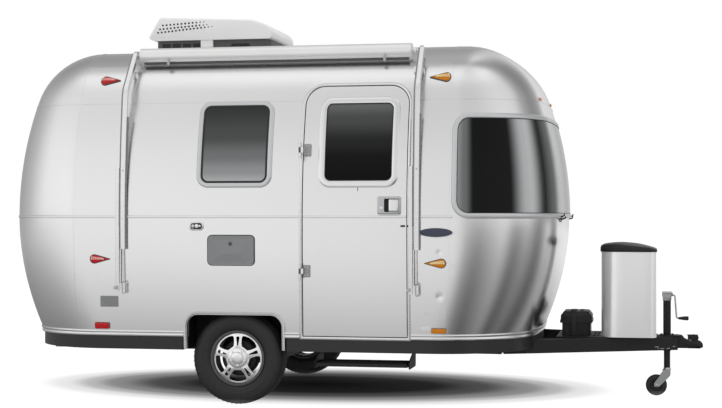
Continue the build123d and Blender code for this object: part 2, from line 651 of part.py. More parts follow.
RIM_R = 178
FLANGE_R = 195
BEAD = 82              # half the width between the rim's flanges
DISC = (50, 72)        # wheel disc, outboard of the tyre's middle
HUB_R = 62
BORE_R = SPINDLE_R + 0.05
SPOKE_PAIRS = 5
for name, side in (("curb", -1), ("street", 1)):
    section = Plane(origin=(AXLE_X, side * WHEEL_Y, TYRE_R), x_dir=(0, 0, 1), z_dir=(-side, 0, 0))
    wheel_axis = Axis((AXLE_X, 0, TYRE_R), (0, 1, 0))
    with BuildSketch(section) as tread:
        with BuildLine():
            Polyline((197, -BEAD), (RIM_R, -BEAD), (RIM_R, BEAD), (197, BEAD))
            Polyline((197, BEAD), (225, 98), (262, TYRE_WIDTH / 2), (304, 92), (TYRE_R, 62),
                     (TYRE_R, -62), (304, -92), (262, -TYRE_WIDTH / 2), (225, -98), (197, -BEAD))
        make_face()
    with BuildPart() as tyre:
        revolve(tread.sketch, axis=wheel_axis)
    save(f"tyre_{name}", tyre)

    with BuildSketch(section) as rim:
        with BuildLine():
            Polyline((BORE_R, -60), (HUB_R, -60), (HUB_R, DISC[0]), (172, DISC[0]),
                     (172, -BEAD - 8), (FLANGE_R, -BEAD - 8), (FLANGE_R, -BEAD), (RIM_R, -BEAD),
                     (RIM_R, BEAD), (FLANGE_R, BEAD), (FLANGE_R, BEAD + 8), (172, BEAD + 8),
                     (172, DISC[1]), (74, DISC[1]), (68, DISC[1] + 8), (36, DISC[1] + 16),
                     (0, DISC[1] + 18), (0, DISC[0] - 2), (BORE_R, DISC[0] - 2), close=True)
        make_face()
    face_plane = Plane(origin=(AXLE_X, side * (WHEEL_Y - 200), TYRE_R), x_dir=(1, 0, 0), z_dir=(0, side, 0))
    with BuildSketch(face_plane) as windows:
        with PolarLocations(0, SPOKE_PAIRS, start_angle=-side * 90 + 180 / SPOKE_PAIRS):
            Polygon((72, -22), (146, -68), (160, -50), (168, 0), (160, 50), (146, 68), (72, 22), align=None)
        with PolarLocations(0, SPOKE_PAIRS, start_angle=-side * 90):
            Polygon((84, -4), (150, -9), (150, 9), (84, 4), align=None)
    with BuildPart() as wheel:
        revolve(rim.sketch, axis=wheel_axis)
        extrude(windows.sketch, amount=400, mode=Mode.SUBTRACT)
    save(f"wheel_{name}", wheel)


# ------------------------------------------------------------- gas bottles and battery
COVER_X = (ahead(2492), ahead(2884))
COVER_Y = (-310, 310)
COVER_Z = (TRAY_Z[1], 1062)
COVER_REAR_R = 150     # corner towards the body
COVER_FRONT_R = 45
COVER_WALL = 4
LID_TOP_Z = 1131
LID_LAP = 8            # the lid overhangs the cover by this much
LID_ROUND = 34
BOTTLE_R = 140
BOTTLE_Y = 146
BATTERY_X = (ahead(2204), ahead(2408))
BATTERY_Y = (-145, 145)


def cover_plan(height, margin):
    """Rounded plan of the gas cover, grown by a margin; the rear corners are larger."""
    with BuildSketch(Plane.XY.offset(height)) as plan:
        with Locations((middle(COVER_X), 0)):
            Rectangle(span(COVER_X) + 2 * margin, span(COVER_Y) + 2 * margin)
        corners = plan.vertices().group_by(Axis.X)
        fillet(corners[0], COVER_REAR_R + margin)
        fillet(plan.vertices().group_by(Axis.X)[-1], COVER_FRONT_R + margin)
    return plan.sketch


with BuildPart() as gas_cover:
    extrude(cover_plan(COVER_Z[0], 0), amount=span(COVER_Z))
    extrude(cover_plan(COVER_Z[0], -COVER_WALL), amount=span(COVER_Z), mode=Mode.SUBTRACT)
save("gas_cover", gas_cover)

LID_SIDE_Z = COVER_Z[1] + 1
with BuildPart() as gas_lid:
    extrude(cover_plan(LID_SIDE_Z, LID_LAP), amount=LID_TOP_Z - LID_SIDE_Z)
    fillet(gas_lid.faces().sort_by(Axis.Z)[-1].edges(), LID_ROUND)
save("gas_lid", gas_lid)

with BuildPart() as gas_bottles:
    for side in (1, -1):
        base = (middle(COVER_X), side * BOTTLE_Y)
        rod((*base, TRAY_Z[1]), (*base, 900), BOTTLE_R)
    fillet(gas_bottles.edges().filter_by(GeomType.CIRCLE).group_by(Axis.Z)[-1], 90)
    for side in (1, -1):
        base = (middle(COVER_X), side * BOTTLE_Y)
        rod((*base, 890), (*base, 950), 22)
save("gas_bottles", gas_bottles)

with BuildPart() as battery_box:
    block(BATTERY_X, BATTERY_Y, (TRAY_Z[1], 540))
    block(grow(BATTERY_X, 15), grow(BATTERY_Y, 10), (535, 630))
    chamfer(battery_box.faces().sort_by(Axis.Z)[-1].edges(), 24)
save("battery_box", battery_box)

# ---------------------------------------------------------------------- air conditioner
AC_X = (ahead(-920), ahead(60))
AC_Y = (-345, 345)
AC_BASE_Z = (ROOF_Z, 2656)
AC_TOP_Z = 2835
AC_ROUND = 36
with BuildPart() as ac_base:
    with BuildSketch(Plane.XY.offset(AC_BASE_Z[0])) as plan:
        with Locations((middle(AC_X) + 10, 0)):
            RectangleRounded(span(AC_X) - 80, span(AC_Y) - 60, 60)
    extrude(plan.sketch, amount=span(AC_BASE_Z))
save("ac_base", ac_base)

with BuildPart() as ac_shroud:
    with BuildSketch(Plane.XZ.offset(-AC_Y[1])) as side_view:
        with BuildLine():
            Polyline((AC_X[0] + 45, AC_BASE_Z[1]), (AC_X[0], AC_BASE_Z[1] + 30),
                     (AC_X[0] + 95, AC_TOP_Z), (AC_X[1] - 150, AC_TOP_Z - 32),
                     (AC_X[1], AC_BASE_Z[1] + 64), (AC_X[1] - 10, AC_BASE_Z[1]), close=True)
        make_face()
    extrude(side_view.sketch, amount=span(AC_Y))
    fillet(ac_shroud.edges().filter_by(Axis.Y).group_by(Axis.Z)[-2], AC_ROUND)
save("ac_shroud", ac_shroud)

# ------------------------------------------------------------------------------- awning
ROLLER_X = (ahead(-764), ahead(1209))
ROLLER_Y = -935
ROLLER_Z = 2475
ROLLER_R = 44
AWNING_ARMS = (-812, 1290)     # middles of the two arms, ahead of the axle
ARM_HALF = 15
ARM_Z = (790, 2475)
AWNING_FEET = (820, 1500, 2410)

arm_layer = layer(body_solid(-ARM_PROUD[1]), body_solid(-ARM_PROUD[0]))
foot_layer = layer(body_solid(-ARM_PROUD[0]), outer_body)
with BuildPart() as awning_roller:
    rod((ROLLER_X[0], ROLLER_Y, ROLLER_Z), (ROLLER_X[1], ROLLER_Y, ROLLER_Z), ROLLER_R)
save("awning_roller", awning_roller)

with BuildPart() as arm_slabs:
    for x in AWNING_ARMS:
        block((ahead(x) - ARM_HALF, ahead(x) + ARM_HALF), (-1400, -800), ARM_Z)
with BuildPart() as foot_blocks:
    for x in AWNING_ARMS:
        for z in AWNING_FEET:
            block((ahead(x) - 20, ahead(x) + 20), (-1400, -800), (z - 30, z + 30))
with BuildPart() as arm_feet:
    add(foot_layer)
    add(foot_blocks.part, mode=Mode.INTERSECT)
with BuildPart() as awning_arms:
    add(arm_layer)
    add(arm_slabs.part, mode=Mode.INTERSECT)
    add(arm_feet.part)
    for x, end in zip(AWNING_ARMS, ROLLER_X):
        near, far = sorted((ahead(x), end))
        rod((near, ROLLER_Y, ROLLER_Z), (far, ROLLER_Y, ROLLER_Z), 14)
        block((ahead(x) - 12, ahead(x) + 12), (ROLLER_Y - 30, ROLLER_Y + 60), (2440, 2500))
    add(outer_body, mode=Mode.SUBTRACT)
save("awning_arms", awning_arms)

# -------------------------------------------------------------- lamps and small fittings
LAMP_ROWS = (          # rear of the lamp ahead of the axle, middle height, points forward
    ("red", -1042, 1018, 1),
    ("red", -1015, 2293, 1),
    ("amber", 1338, 1000, -1),
    ("amber", 1349, 2277, -1),
)
LAMP_LENGTH = 145
LAMP_HALF = 31


def teardrop(x, z, way):
    """Prism through both sides with the outline of a marker lamp pointing way along X."""
    blunt = ahead(x) + (LAMP_HALF if way > 0 else LAMP_LENGTH - LAMP_HALF)
    tip = ahead(x) + (LAMP_LENGTH - 4 if way > 0 else 4)
    with BuildSketch(Plane.XZ.offset(-1400)) as outline:
        with Locations((blunt, z)):
            Circle(LAMP_HALF)
        with Locations((tip, z)):
            Circle(4)
        make_hull()
    with BuildPart() as prism:
        extrude(outline.sketch, amount=2800)
    return prism.part


REFLECTORS = (("red", (-1020, -910), (525, 571)), ("amber", (1382, 1495), (525, 560)))
TAIL_LAMP_Y = (585, 690)
TAIL_LAMP_Z = (900, 1180)
for colour in ("red", "amber"):
    with BuildPart() as outlines:
        for lamp, x, z, way in LAMP_ROWS:
            if lamp == colour:
                add(teardrop(x, z, way))
        for lamp, x, z in REFLECTORS:
            if lamp == colour:
                side_prism((ahead(x[0]), ahead(x[1])), wide, z, 10)
        if colour == "red":
            for y in (TAIL_LAMP_Y, (-TAIL_LAMP_Y[1], -TAIL_LAMP_Y[0])):
                end_prism(REAR_REACH, y, TAIL_LAMP_Z, 25)
    with BuildPart() as lamps:
        add(frame_layer)
        add(outlines.part, mode=Mode.INTERSECT)
    save(f"lamps_{colour}", lamps)

with BuildPart() as side_outlets:
    side_prism((ahead(-315), ahead(-217)), (-1236, -1190), (1222, 1282), 10)
    side_prism((ahead(-975), ahead(-844)), (-1228, -1190), (681, 758), 6)
    add(outer_body, mode=Mode.SUBTRACT)
save("side_outlets", side_outlets)

# -------------------------------------------------------------------------- entry step
STEP_X = (ahead(575), ahead(1215))
STEP_Y = (-1175, -915)
STEP_Z = (285, 312)
STEP_PLATE = 8
with BuildPart() as step_bracket:
    for x in ((STEP_X[0] - 14, STEP_X[0] - 6), (STEP_X[1] + 6, STEP_X[1] + 14)):
        block(x, (-1160, -880), (270, 385))
    block((STEP_X[0] - 14, STEP_X[1] + 14), (-905, -880), (372, 440))
    block((STEP_X[0] - 14, STEP_X[0] + 40), (-1000, -880), (377, 440))
    block((STEP_X[1] - 40, STEP_X[1] + 14), (-1000, -880), (377, 440))
save("step_bracket", step_bracket)

with BuildPart() as step_tread:
    block(STEP_X, STEP_Y, STEP_Z)
    block((STEP_X[0] + 30, STEP_X[1] - 30), (STEP_Y[0] + 20, STEP_Y[1] - 20), (STEP_Z[0] - 1, STEP_Z[1] - 4),
          Mode.SUBTRACT)
save("step_tread", step_tread)
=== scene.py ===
"""Looks of a polished single-axle travel trailer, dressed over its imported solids.

Metres, +X towards the hitch, +Z up, floor at Z = 0; the curb side, with the entry door,
is at -Y.  Each sub-assembly is a class that holds its own sizes, works out its meshes
with numpy and dresses them.  Distances called "ahead" are ahead of the axle.
"""
from __future__ import annotations

import json
import logging
import math
import sys
from dataclasses import dataclass
from enum import Enum
from functools import cache
from typing import Callable, Iterable, Sequence

import bmesh
import bpy
import numpy as np
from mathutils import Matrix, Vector
from mathutils.geometry import delaunay_2d_cdt

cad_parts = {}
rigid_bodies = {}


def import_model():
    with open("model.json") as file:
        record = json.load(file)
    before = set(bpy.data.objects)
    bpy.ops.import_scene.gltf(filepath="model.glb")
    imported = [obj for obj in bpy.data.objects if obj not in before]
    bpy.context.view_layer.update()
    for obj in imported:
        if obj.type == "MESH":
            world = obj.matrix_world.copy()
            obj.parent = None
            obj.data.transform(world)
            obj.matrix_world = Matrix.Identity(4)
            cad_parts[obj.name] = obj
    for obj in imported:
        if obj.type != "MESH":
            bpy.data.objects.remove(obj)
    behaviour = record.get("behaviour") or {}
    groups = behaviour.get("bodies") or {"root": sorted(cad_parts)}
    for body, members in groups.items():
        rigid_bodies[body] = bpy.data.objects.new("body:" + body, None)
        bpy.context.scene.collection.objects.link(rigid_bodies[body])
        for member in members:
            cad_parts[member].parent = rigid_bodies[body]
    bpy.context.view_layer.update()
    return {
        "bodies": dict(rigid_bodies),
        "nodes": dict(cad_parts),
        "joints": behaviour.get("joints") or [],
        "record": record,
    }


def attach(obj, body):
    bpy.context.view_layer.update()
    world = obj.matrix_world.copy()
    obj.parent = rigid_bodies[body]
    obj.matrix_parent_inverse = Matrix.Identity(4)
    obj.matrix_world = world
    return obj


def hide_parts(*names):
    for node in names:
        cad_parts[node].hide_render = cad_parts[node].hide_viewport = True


log = logging.getLogger("trailer")
Array = np.ndarray
Real = float | np.ndarray
Place = Sequence[float]
Line = Sequence[Place]
Socket = bpy.types.NodeSocket
Surface = Callable[[Array, Real], Array]
AXLE_X = -0.685
TINY = 1e-4
NO_LENGTH = 1e-12
BEVEL_ANGLE = math.radians(40)
DUST_COLOUR = (0.36, 0.34, 0.31)
X_AXIS, Y_AXIS, Z_AXIS = (1, 0, 0), (0, 1, 0), (0, 0, 1)


class Side(Enum):
    """The two sides of the trailer, by the sign of Y."""

    CURB = -1
    STREET = 1


class Grain(Enum):
    """How a finish breaks up close to: (scale, stretch along X, Y, Z)."""

    ROLLED = (9.0, (1.0, 1.0, 42.0))
    CAST = (160.0, (1.0, 1.0, 1.0))
    MOULDED = (420.0, (1.0, 1.0, 1.0))
    PAINTED = (90.0, (1.0, 1.0, 1.0))
    RUBBER = (260.0, (1.0, 1.0, 1.0))
    SMOOTH = (3.0, (1.0, 1.0, 1.0))


def ahead(distance: float) -> float:
    """Row X of a place this far ahead of the axle."""
    return AXLE_X + distance


def unit(vectors: Array) -> Array:
    """Vectors brought to length 1."""
    return vectors / np.maximum(np.linalg.norm(vectors, axis=-1, keepdims=True), NO_LENGTH)


def circle(count: int) -> Array:
    """Points round a circle of radius 1, anticlockwise."""
    turn = np.linspace(0, 2 * np.pi, count, endpoint=False)
    return np.stack([np.cos(turn), np.sin(turn)], -1)


# ------------------------------------------------------------------------- body surface
@dataclass(frozen=True)
class BodyShell:
    """Outer skin of the body as a function of a perimeter place u and a height s.

    Along the curb side u is row X; from there it runs on round the front, back along the
    street side and round the rear.  s is 0 at the belt, negative below it, and above it
    is the distance along the wall up to the flat roof.
    """

    half_width: float = 1.22
    nose: float = 2.24
    tail: float = -1.838
    belt_z: float = 1.318
    roof_z: float = 2.535
    sill_z: float = 0.475
    corner_r: float = 0.655
    end_r: float = 6.0
    wall_r: float = 2.6
    end_tuck: float = 0.192
    side_tuck: float = 0.025

    @property
    def edge_r(self) -> float:
        """Radius of the knee between the upper wall and the flat roof."""
        rise, run = self.roof_z - self.belt_z, self.wall_r - self.corner_r
        return (self.wall_r**2 - run**2 - rise**2) / (2 * (self.wall_r - rise))

    @property
    def edge_z(self) -> float:
        """Height of the knee's centre."""
        return self.roof_z - self.edge_r

    @property
    def edge_angle(self) -> float:
        """Slope angle at which the upper wall turns into the knee."""
        return math.atan2(self.edge_z - self.belt_z, self.wall_r - self.corner_r)

    @property
    def knee_s(self) -> float:
        """Height s at which the knee begins."""
        return self.wall_r * self.edge_angle

    @property
    def top_s(self) -> float:
        """Height s at which the flat roof begins."""
        return self.knee_s + self.edge_r * (math.pi / 2 - self.edge_angle)

    @property
    def flat_y(self) -> float:
        """Half width of the flat roof."""
        return self.half_width - self.corner_r

    def plan(self, depth: Array) -> tuple[Array, ...]:
        """Centres of the plan's arcs: depth runs from 0 at the belt to 1 at the sill.

        The ends and sides tuck in with the square of the depth, and each corner arc is
        set tangent inside the bowed end.

        Args:
            depth: share of the way down from belt to sill.

        Returns:
            Corner centre Y, front and rear bow centre X, front and rear corner centre X,
            and the angle at which bow and corner meet.
        """
        tuck = depth**2
        corner_y = self.half_width - self.side_tuck * tuck - self.corner_r
        reach = np.sqrt((self.end_r - self.corner_r) ** 2 - corner_y**2)
        front = ahead(self.nose) - self.end_tuck * tuck - self.end_r
        rear = ahead(self.tail) + self.end_tuck * tuck + self.end_r
        return corner_y, front, rear, front + reach, rear - reach, np.arctan2(corner_y, reach)

    def spans(self) -> tuple[float, float, Array, Array]:
        """Ends of the straight curb side, and the start and length of the eight runs."""
        _, _, _, front_x, rear_x, meet = (v.item() for v in self.plan(np.zeros(1)))
        corner = self.corner_r * (math.pi / 2 - meet)
        bow = 2 * meet * self.end_r
        lengths = np.array([front_x - rear_x, corner, bow, corner] * 2)
        starts = np.concatenate([[0.0], np.cumsum(lengths)])
        return front_x, rear_x, starts, lengths

    @property
    def total(self) -> float:
        """Length of the whole perimeter at the belt."""
        return float(self.spans()[2][-1])

    def across(self, u: Real) -> Real:
        """Perimeter place opposite u, on the other side of the centreline."""
        front_x, rear_x, starts, _ = self.spans()
        return rear_x + starts[4] + front_x - u

    def nose_u(self) -> float:
        """Perimeter place of the middle of the front."""
        _, rear_x, starts, lengths = self.spans()
        return rear_x + float(starts[2] + lengths[2] / 2)

    def tail_u(self) -> float:
        """Perimeter place of the middle of the rear, before the curb side."""
        _, rear_x, _, lengths = self.spans()
        return rear_x - float(lengths[7] + lengths[6] / 2)

    def rear_u(self, y: float) -> float:
        """Perimeter place on the bowed rear at this Y."""
        return self.tail_u() - math.asin(y / self.end_r) * self.end_r

    def skin(self, u: Array, s: Array) -> Array:
        """Points of the outer skin.

        The plan at that depth is made of straight sides, along which u stays X, corner
        arcs and bowed ends; the upper wall moves each point inwards along the plan's
        normal as its profile climbs.  The street side mirrors the curb side.

        Args:
            u: perimeter places.
            s: heights along the wall.

        Returns:
            Points, one row each.
        """
        u, s = np.broadcast_arrays(np.asarray(u, float), np.asarray(s, float))
        depth = np.clip(-s / (self.belt_z - self.sill_z), 0, None)
        corner_y, front, rear, front_x, rear_x, meet = self.plan(depth)
        nose, tail = self.nose_u(), self.tail_u()
        along = np.mod(u - tail, 2 * (nose - tail))
        street = along > nose - tail
        here = tail + np.where(street, 2 * (nose - tail) - along, along)
        corner = self.corner_r * (np.pi / 2 - meet)
        whole = corner + meet * self.end_r
        ahead_of, behind = here > front_x, here < rear_x
        way = np.where(behind, -1.0, 1.0)
        left = np.where(ahead_of, (here - front_x) / (nose - front_x), (rear_x - here) / (rear_x - tail))
        gone = whole * np.where(ahead_of | behind, left, 0.0)
        bowed = gone > corner
        turn = np.where(bowed, np.pi / 2 - meet + (gone - corner) / self.end_r, gone / self.corner_r)
        turn = -np.pi / 2 + way * turn
        corner_x = np.where(ahead_of, front_x, np.where(behind, rear_x, here))
        centre_x = np.where(bowed, np.where(behind, rear, front), corner_x)
        centre_y = np.where(bowed, 0.0, -corner_y)
        radius = np.where(bowed, self.end_r, self.corner_r)
        up = np.clip(s, 0, None)
        low = up / self.wall_r
        high = self.edge_angle + (up - self.knee_s) / self.edge_r
        knee = up > self.knee_s
        inward = np.where(knee, self.corner_r - self.edge_r * np.cos(high), self.wall_r * (1 - np.cos(low)))
        climb = np.where(knee, self.edge_z + self.edge_r * np.sin(high), self.belt_z + self.wall_r
            * np.sin(low))
        reach = radius - inward
        y = centre_y + reach * np.sin(turn)
        return np.stack([centre_x + reach * np.cos(turn), np.where(street, -y, y),
            np.where(s < 0, self.belt_z + s, climb)], -1)

    def normal(self, u: Array, s: Array) -> Array:
        """Outward unit normals, from the cross product of the skin's two tangents."""
        s = np.minimum(np.asarray(s, float), self.top_s - 2 * TINY)
        du = self.skin(u + TINY, s) - self.skin(u - TINY, s)
        ds = self.skin(u, s + TINY) - self.skin(u, s - TINY)
        return unit(np.cross(du, ds))

    def place(self, points: Array, proud: Real) -> Array:
        """Points this far outside the skin, for rows of (u, s)."""
        u, s = points[..., 0], points[..., 1]
        return self.skin(u, s) + np.asarray(proud)[..., None] * self.normal(u, s)

    def s_of(self, z: Real) -> Array:
        """Height s of a row height z.

        Args:
            z: the row height.

        Returns:
            The height along the wall.
        """
        z = np.asarray(z, float)
        low = self.wall_r * np.arcsin(np.clip((z - self.belt_z) / self.wall_r, -1, 1))
        high = np.arcsin(np.clip((z - self.edge_z) / self.edge_r, -1, 1)) - self.edge_angle
        knee_z = self.edge_z + self.edge_r * math.sin(self.edge_angle)
        above = np.where(z > knee_z, self.knee_s + self.edge_r * high, low)
        return np.where(z < self.belt_z, z - self.belt_z, above)

    def on_wall(self, outline: Array) -> Array:
        """Rows of (u, z) as rows of (u, s)."""
        return np.stack([outline[:, 0], self.s_of(outline[:, 1])], -1)

    def roof(self, points: Array, proud: Real) -> Array:
        """Points on the roof for rows of (x, t), t running from curb to street.

        Within the flat half width t is Y; beyond it t follows the knee down the side.
        """
        x, t = points[..., 0], points[..., 1]
        over = np.clip(np.abs(t) - self.flat_y, 0, None)
        turn = math.pi / 2 - over / self.edge_r
        reach = self.edge_r + np.asarray(proud)
        y = np.sign(t) * (np.minimum(np.abs(t), self.flat_y) + reach * np.cos(turn))
        return np.stack([x, y, self.edge_z + reach * np.sin(turn)], -1)


SHELL = BodyShell()


# ------------------------------------------------------------------------ outlines in 2D
def mm(*rows: Place) -> tuple[Place, ...]:
    """A profile that is written in millimetres, in metres."""
    return tuple(tuple(value / 1000 for value in row) for row in rows)


def rounded(low: Place, high: Place, radius: float, steps: int) -> Array:
    """Rounded rectangle between two corners, anticlockwise: four quarter circles in turn.

    Args:
        low: its lower left corner.
        high: its upper right corner.
        radius: radius of the corners.
        steps: straight pieces in each quarter.

    Returns:
        Its outline.
    """
    turn = np.linspace(0, np.pi / 2, steps + 1)
    corners = []
    for quarter, (x, y) in enumerate(((high[0], high[1]), (low[0], high[1]), (low[0], low[1]),
            (high[0], low[1]))):
        cx = x - radius if x == high[0] else x + radius
        cy = y - radius if y == high[1] else y + radius
        angle = turn + quarter * np.pi / 2
        corners.append(np.stack([cx + radius * np.cos(angle), cy + radius * np.sin(angle)], -1))
    return np.concatenate(corners)


def fill_in(outline: Array, step: float, closed: bool = True) -> Array:
    """The same line with points added so that no two are further apart than step.

    Args:
        outline: points of the line.
        step: largest distance between two of them.
        closed: whether it meets its own start.

    Returns:
        The points.
    """
    nxt = np.roll(outline, -1, 0) if closed else outline[1:]
    here = outline if closed else outline[:-1]
    parts = [a + (b - a) * np.arange(n)[:, None] / n for a, b, n in zip(here, nxt,
        np.maximum(1, np.ceil(np.linalg.norm(nxt - here, axis=1) / step)).astype(int))]
    return np.concatenate(parts if closed else parts + [outline[-1:]])


def inside(points: Array, outline: Array) -> Array:
    """Which points lie within a closed outline, by counting the edges each looks across.

    Args:
        points: points to look at.
        outline: the closed outline.

    Returns:
        True for each point inside.
    """
    a, b = outline, np.roll(outline, -1, 0)
    x, y = points[:, :1], points[:, 1:]
    crosses = (a[:, 1] > y) != (b[:, 1] > y)
    rise = np.where(b[:, 1] == a[:, 1], 1.0, b[:, 1] - a[:, 1])
    at = a[:, 0] + (y - a[:, 1]) * (b[:, 0] - a[:, 0]) / rise
    return (np.count_nonzero(crosses & (x < at), axis=1) % 2).astype(bool)


@dataclass
class Pattern:
    """Flat pattern of a sheet: its outline, its holes and how close its points are."""

    outline: Array
    holes: Sequence[Array] = ()
    step: float = 0.05
    extra: Array | None = None

    def cut(self) -> tuple[Array, Array, Array]:
        """Triangles of the pattern.

        Staggered grid points and the filled-in outlines are joined by a constrained
        Delaunay triangulation, and triangles in holes or outside are dropped.

        Returns:
            Points, triangles turned anticlockwise, and the rim's edges in their order.
        """
        loops = [fill_in(line, self.step) for line in (self.outline, *self.holes)]
        low, high = self.outline.min(0), self.outline.max(0)
        xs = np.arange(low[0] + self.step / 2, high[0], self.step)
        ys = np.arange(low[1] + self.step / 2, high[1], self.step * 0.87)
        grid = np.stack(np.meshgrid(xs, ys, indexing="ij"), -1)
        grid[:, ::2, 0] += self.step / 2
        grid = grid.reshape(-1, 2)
        if self.extra is not None:
            grid = np.concatenate([grid, self.extra])
        rim = np.concatenate(loops)
        keep = inside(grid, loops[0])
        for hole in loops[1:]:
            keep &= ~inside(grid, hole)
        grid = grid[keep]
        if len(grid):
            near = np.concatenate([np.linalg.norm(part[:, None] - rim[None], axis=2).min(1)
                for part in np.array_split(grid, 1 + len(grid) // 500)])
            grid = grid[near > 0.45 * self.step]
        edges, first = [], 0
        for loop in loops:
            count = len(loop)
            edges += [(first + i, first + (i + 1) % count) for i in range(count)]
            first += count
        made = delaunay_2d_cdt([Vector(p) for p in np.concatenate([rim, grid])], edges, [], 0, 1e-7)
        points = np.array([tuple(p) for p in made[0]])
        faces = np.array(made[2])
        middle = points[faces].mean(1)
        keep = inside(middle, loops[0])
        for hole in loops[1:]:
            keep &= ~inside(middle, hole)
        faces = faces[keep]
        a, b, c = (points[faces[:, k]] for k in range(3))
        area = (b[:, 0] - a[:, 0]) * (c[:, 1] - a[:, 1]) - (b[:, 1] - a[:, 1]) * (c[:, 0] - a[:, 0])
        faces[area < 0] = faces[area < 0][:, ::-1]
        faces = faces[np.abs(area) > NO_LENGTH]
        used, index = np.unique(faces, return_inverse=True)
        faces = index.reshape(-1, 3)
        sides = np.concatenate([faces[:, (0, 1)], faces[:, (1, 2)], faces[:, (2, 0)]])
        key = np.sort(sides, 1) @ np.array([len(used), 1])
        _, back, count = np.unique(key, return_inverse=True, return_counts=True)
        return points[used], faces, sides[count[back] == 1]


# ----------------------------------------------------------------------------- mesh work
@dataclass
class Mesh:
    """Vertices, faces, the material of each face, and a normal for each corner or None."""

    points: Array
    faces: list[Array]
    paint: Array
    normals: Array | None = None

    @staticmethod
    def of(points: Array, faces: Array | list) -> Mesh:
        """A mesh of one material."""
        return Mesh(np.asarray(points, float), list(faces), np.zeros(len(faces), int))


def join(parts: Iterable[Mesh]) -> Mesh:
    """One mesh of several, with their vertices numbered on.

    Args:
        parts: the meshes.

    Returns:
        The one mesh.
    """
    parts = list(parts)
    first = np.concatenate([[0], np.cumsum([len(p.points) for p in parts])])
    faces = [np.asarray(f) + n for p, n in zip(parts, first) for f in p.faces]
    normals = None
    if all(p.normals is not None for p in parts):
        normals = np.concatenate([p.normals for p in parts])
    return Mesh(np.concatenate([p.points for p in parts]), faces, np.concatenate([p.paint for p in parts]),
        normals)


def sheet(pattern: Pattern, out: float, thick: float, paints: tuple[int, int, int] = (0, 1, 1),
        relief: Callable[[Array], Array] | None = None, surface: Surface = SHELL.place) -> Mesh:
    """Closed sheet laid on a surface.

    The pattern's points are carried to the surface at two distances from it and the two
    skins are joined by a wall along the rim.  Corner normals come from the surface.

    Args:
        pattern: the flat pattern.
        out: how far the outer skin stands proud of the surface.
        thick: thickness of the sheet.
        paints: material of the outer skin, the inner skin and the rim.
        relief: extra height of the outer skin at pattern points.
        surface: carries rows of pattern points, at a distance outside, to space.

    Returns:
        The mesh.
    """
    flat, faces, rim = pattern.cut()
    extra = relief(flat) if relief else np.zeros(len(flat))
    outer = surface(flat, out + extra)
    inner = surface(flat, out - thick)
    count = len(flat)
    wall = np.stack([rim[:, 0], rim[:, 0] + count, rim[:, 1] + count, rim[:, 1]], -1)
    if relief:
        a, b, c = (outer[faces[:, k]] for k in range(3))
        facing = np.cross(b - a, c - a)
        normal = np.zeros_like(outer)
        for k in range(3):
            np.add.at(normal, faces[:, k], facing)
    else:
        normal = surface(flat, out + 0.001) - surface(flat, out)
    normal = unit(normal)
    both = np.concatenate([outer, inner])
    edge = unit(np.cross(both[wall[:, 1]] - both[wall[:, 0]], both[wall[:, 2]] - both[wall[:, 1]]))
    corners = np.concatenate([normal[faces].reshape(-1, 3), -normal[faces[:, ::-1]].reshape(-1, 3),
        np.repeat(edge, 4, axis=0)])
    paint = np.repeat(paints, [len(faces), len(faces), len(wall)])
    return Mesh(both, [*faces, *(faces[:, ::-1] + count), *wall], paint, corners)


def moulding(path: Array, profile: Line, closed: bool = True, surface: Surface = SHELL.place) -> Mesh:
    """Moulding carried along a line on a surface.

    Each profile point is a pair (to the right of the line, outwards); the line's own
    plane gives the sideways direction, mitred at its bends, and the surface the rest.

    Args:
        path: rows of pattern points along the line.
        profile: closed cross-section, as rows of (sideways, proud).
        closed: whether the line meets its own start.
        surface: carries rows of pattern points, at a distance outside, to space.

    Returns:
        The mesh.
    """
    profile = np.asarray(profile, float)
    if closed:
        before, after = path - np.roll(path, 1, 0), np.roll(path, -1, 0) - path
    else:
        steps = np.diff(path, axis=0)
        before, after = np.concatenate([steps[:1], steps]), np.concatenate([steps, steps[-1:]])
    before, after = unit(before), unit(after)
    mean = before + after
    right = unit(np.stack([mean[:, 1], -mean[:, 0]], -1))
    right /= np.maximum(np.sqrt(np.clip((1 + (before * after).sum(1)) / 2, 0.2, 1)), 0.2)[:, None]
    rows = path[:, None] + right[:, None] * profile[None, :, :1]
    points = surface(rows.reshape(-1, 2), np.tile(profile[:, 1], len(path)))
    return grid_mesh(points.reshape(len(path), len(profile), 3), closed)


def grid_mesh(points: Array, wrap_rows: bool) -> Mesh:
    """Quads over rows of points that each close on themselves, with flat caps at open ends.

    Args:
        points: rows and columns of points.
        wrap_rows: whether the last row meets the first.

    Returns:
        The mesh.
    """
    rows, columns = points.shape[:2]
    r = np.arange(rows if wrap_rows else rows - 1)
    a, b = np.meshgrid(r, np.arange(columns), indexing="ij")
    up, over = (a + 1) % rows, (b + 1) % columns
    quads = np.stack([a * columns + b, up * columns + b, up * columns + over, a * columns + over],
        -1).reshape(-1, 4)
    faces = list(quads)
    if not wrap_rows:
        faces += [np.arange(columns), (rows - 1) * columns + np.arange(columns)[::-1]]
    return Mesh.of(points.reshape(-1, 3), faces)


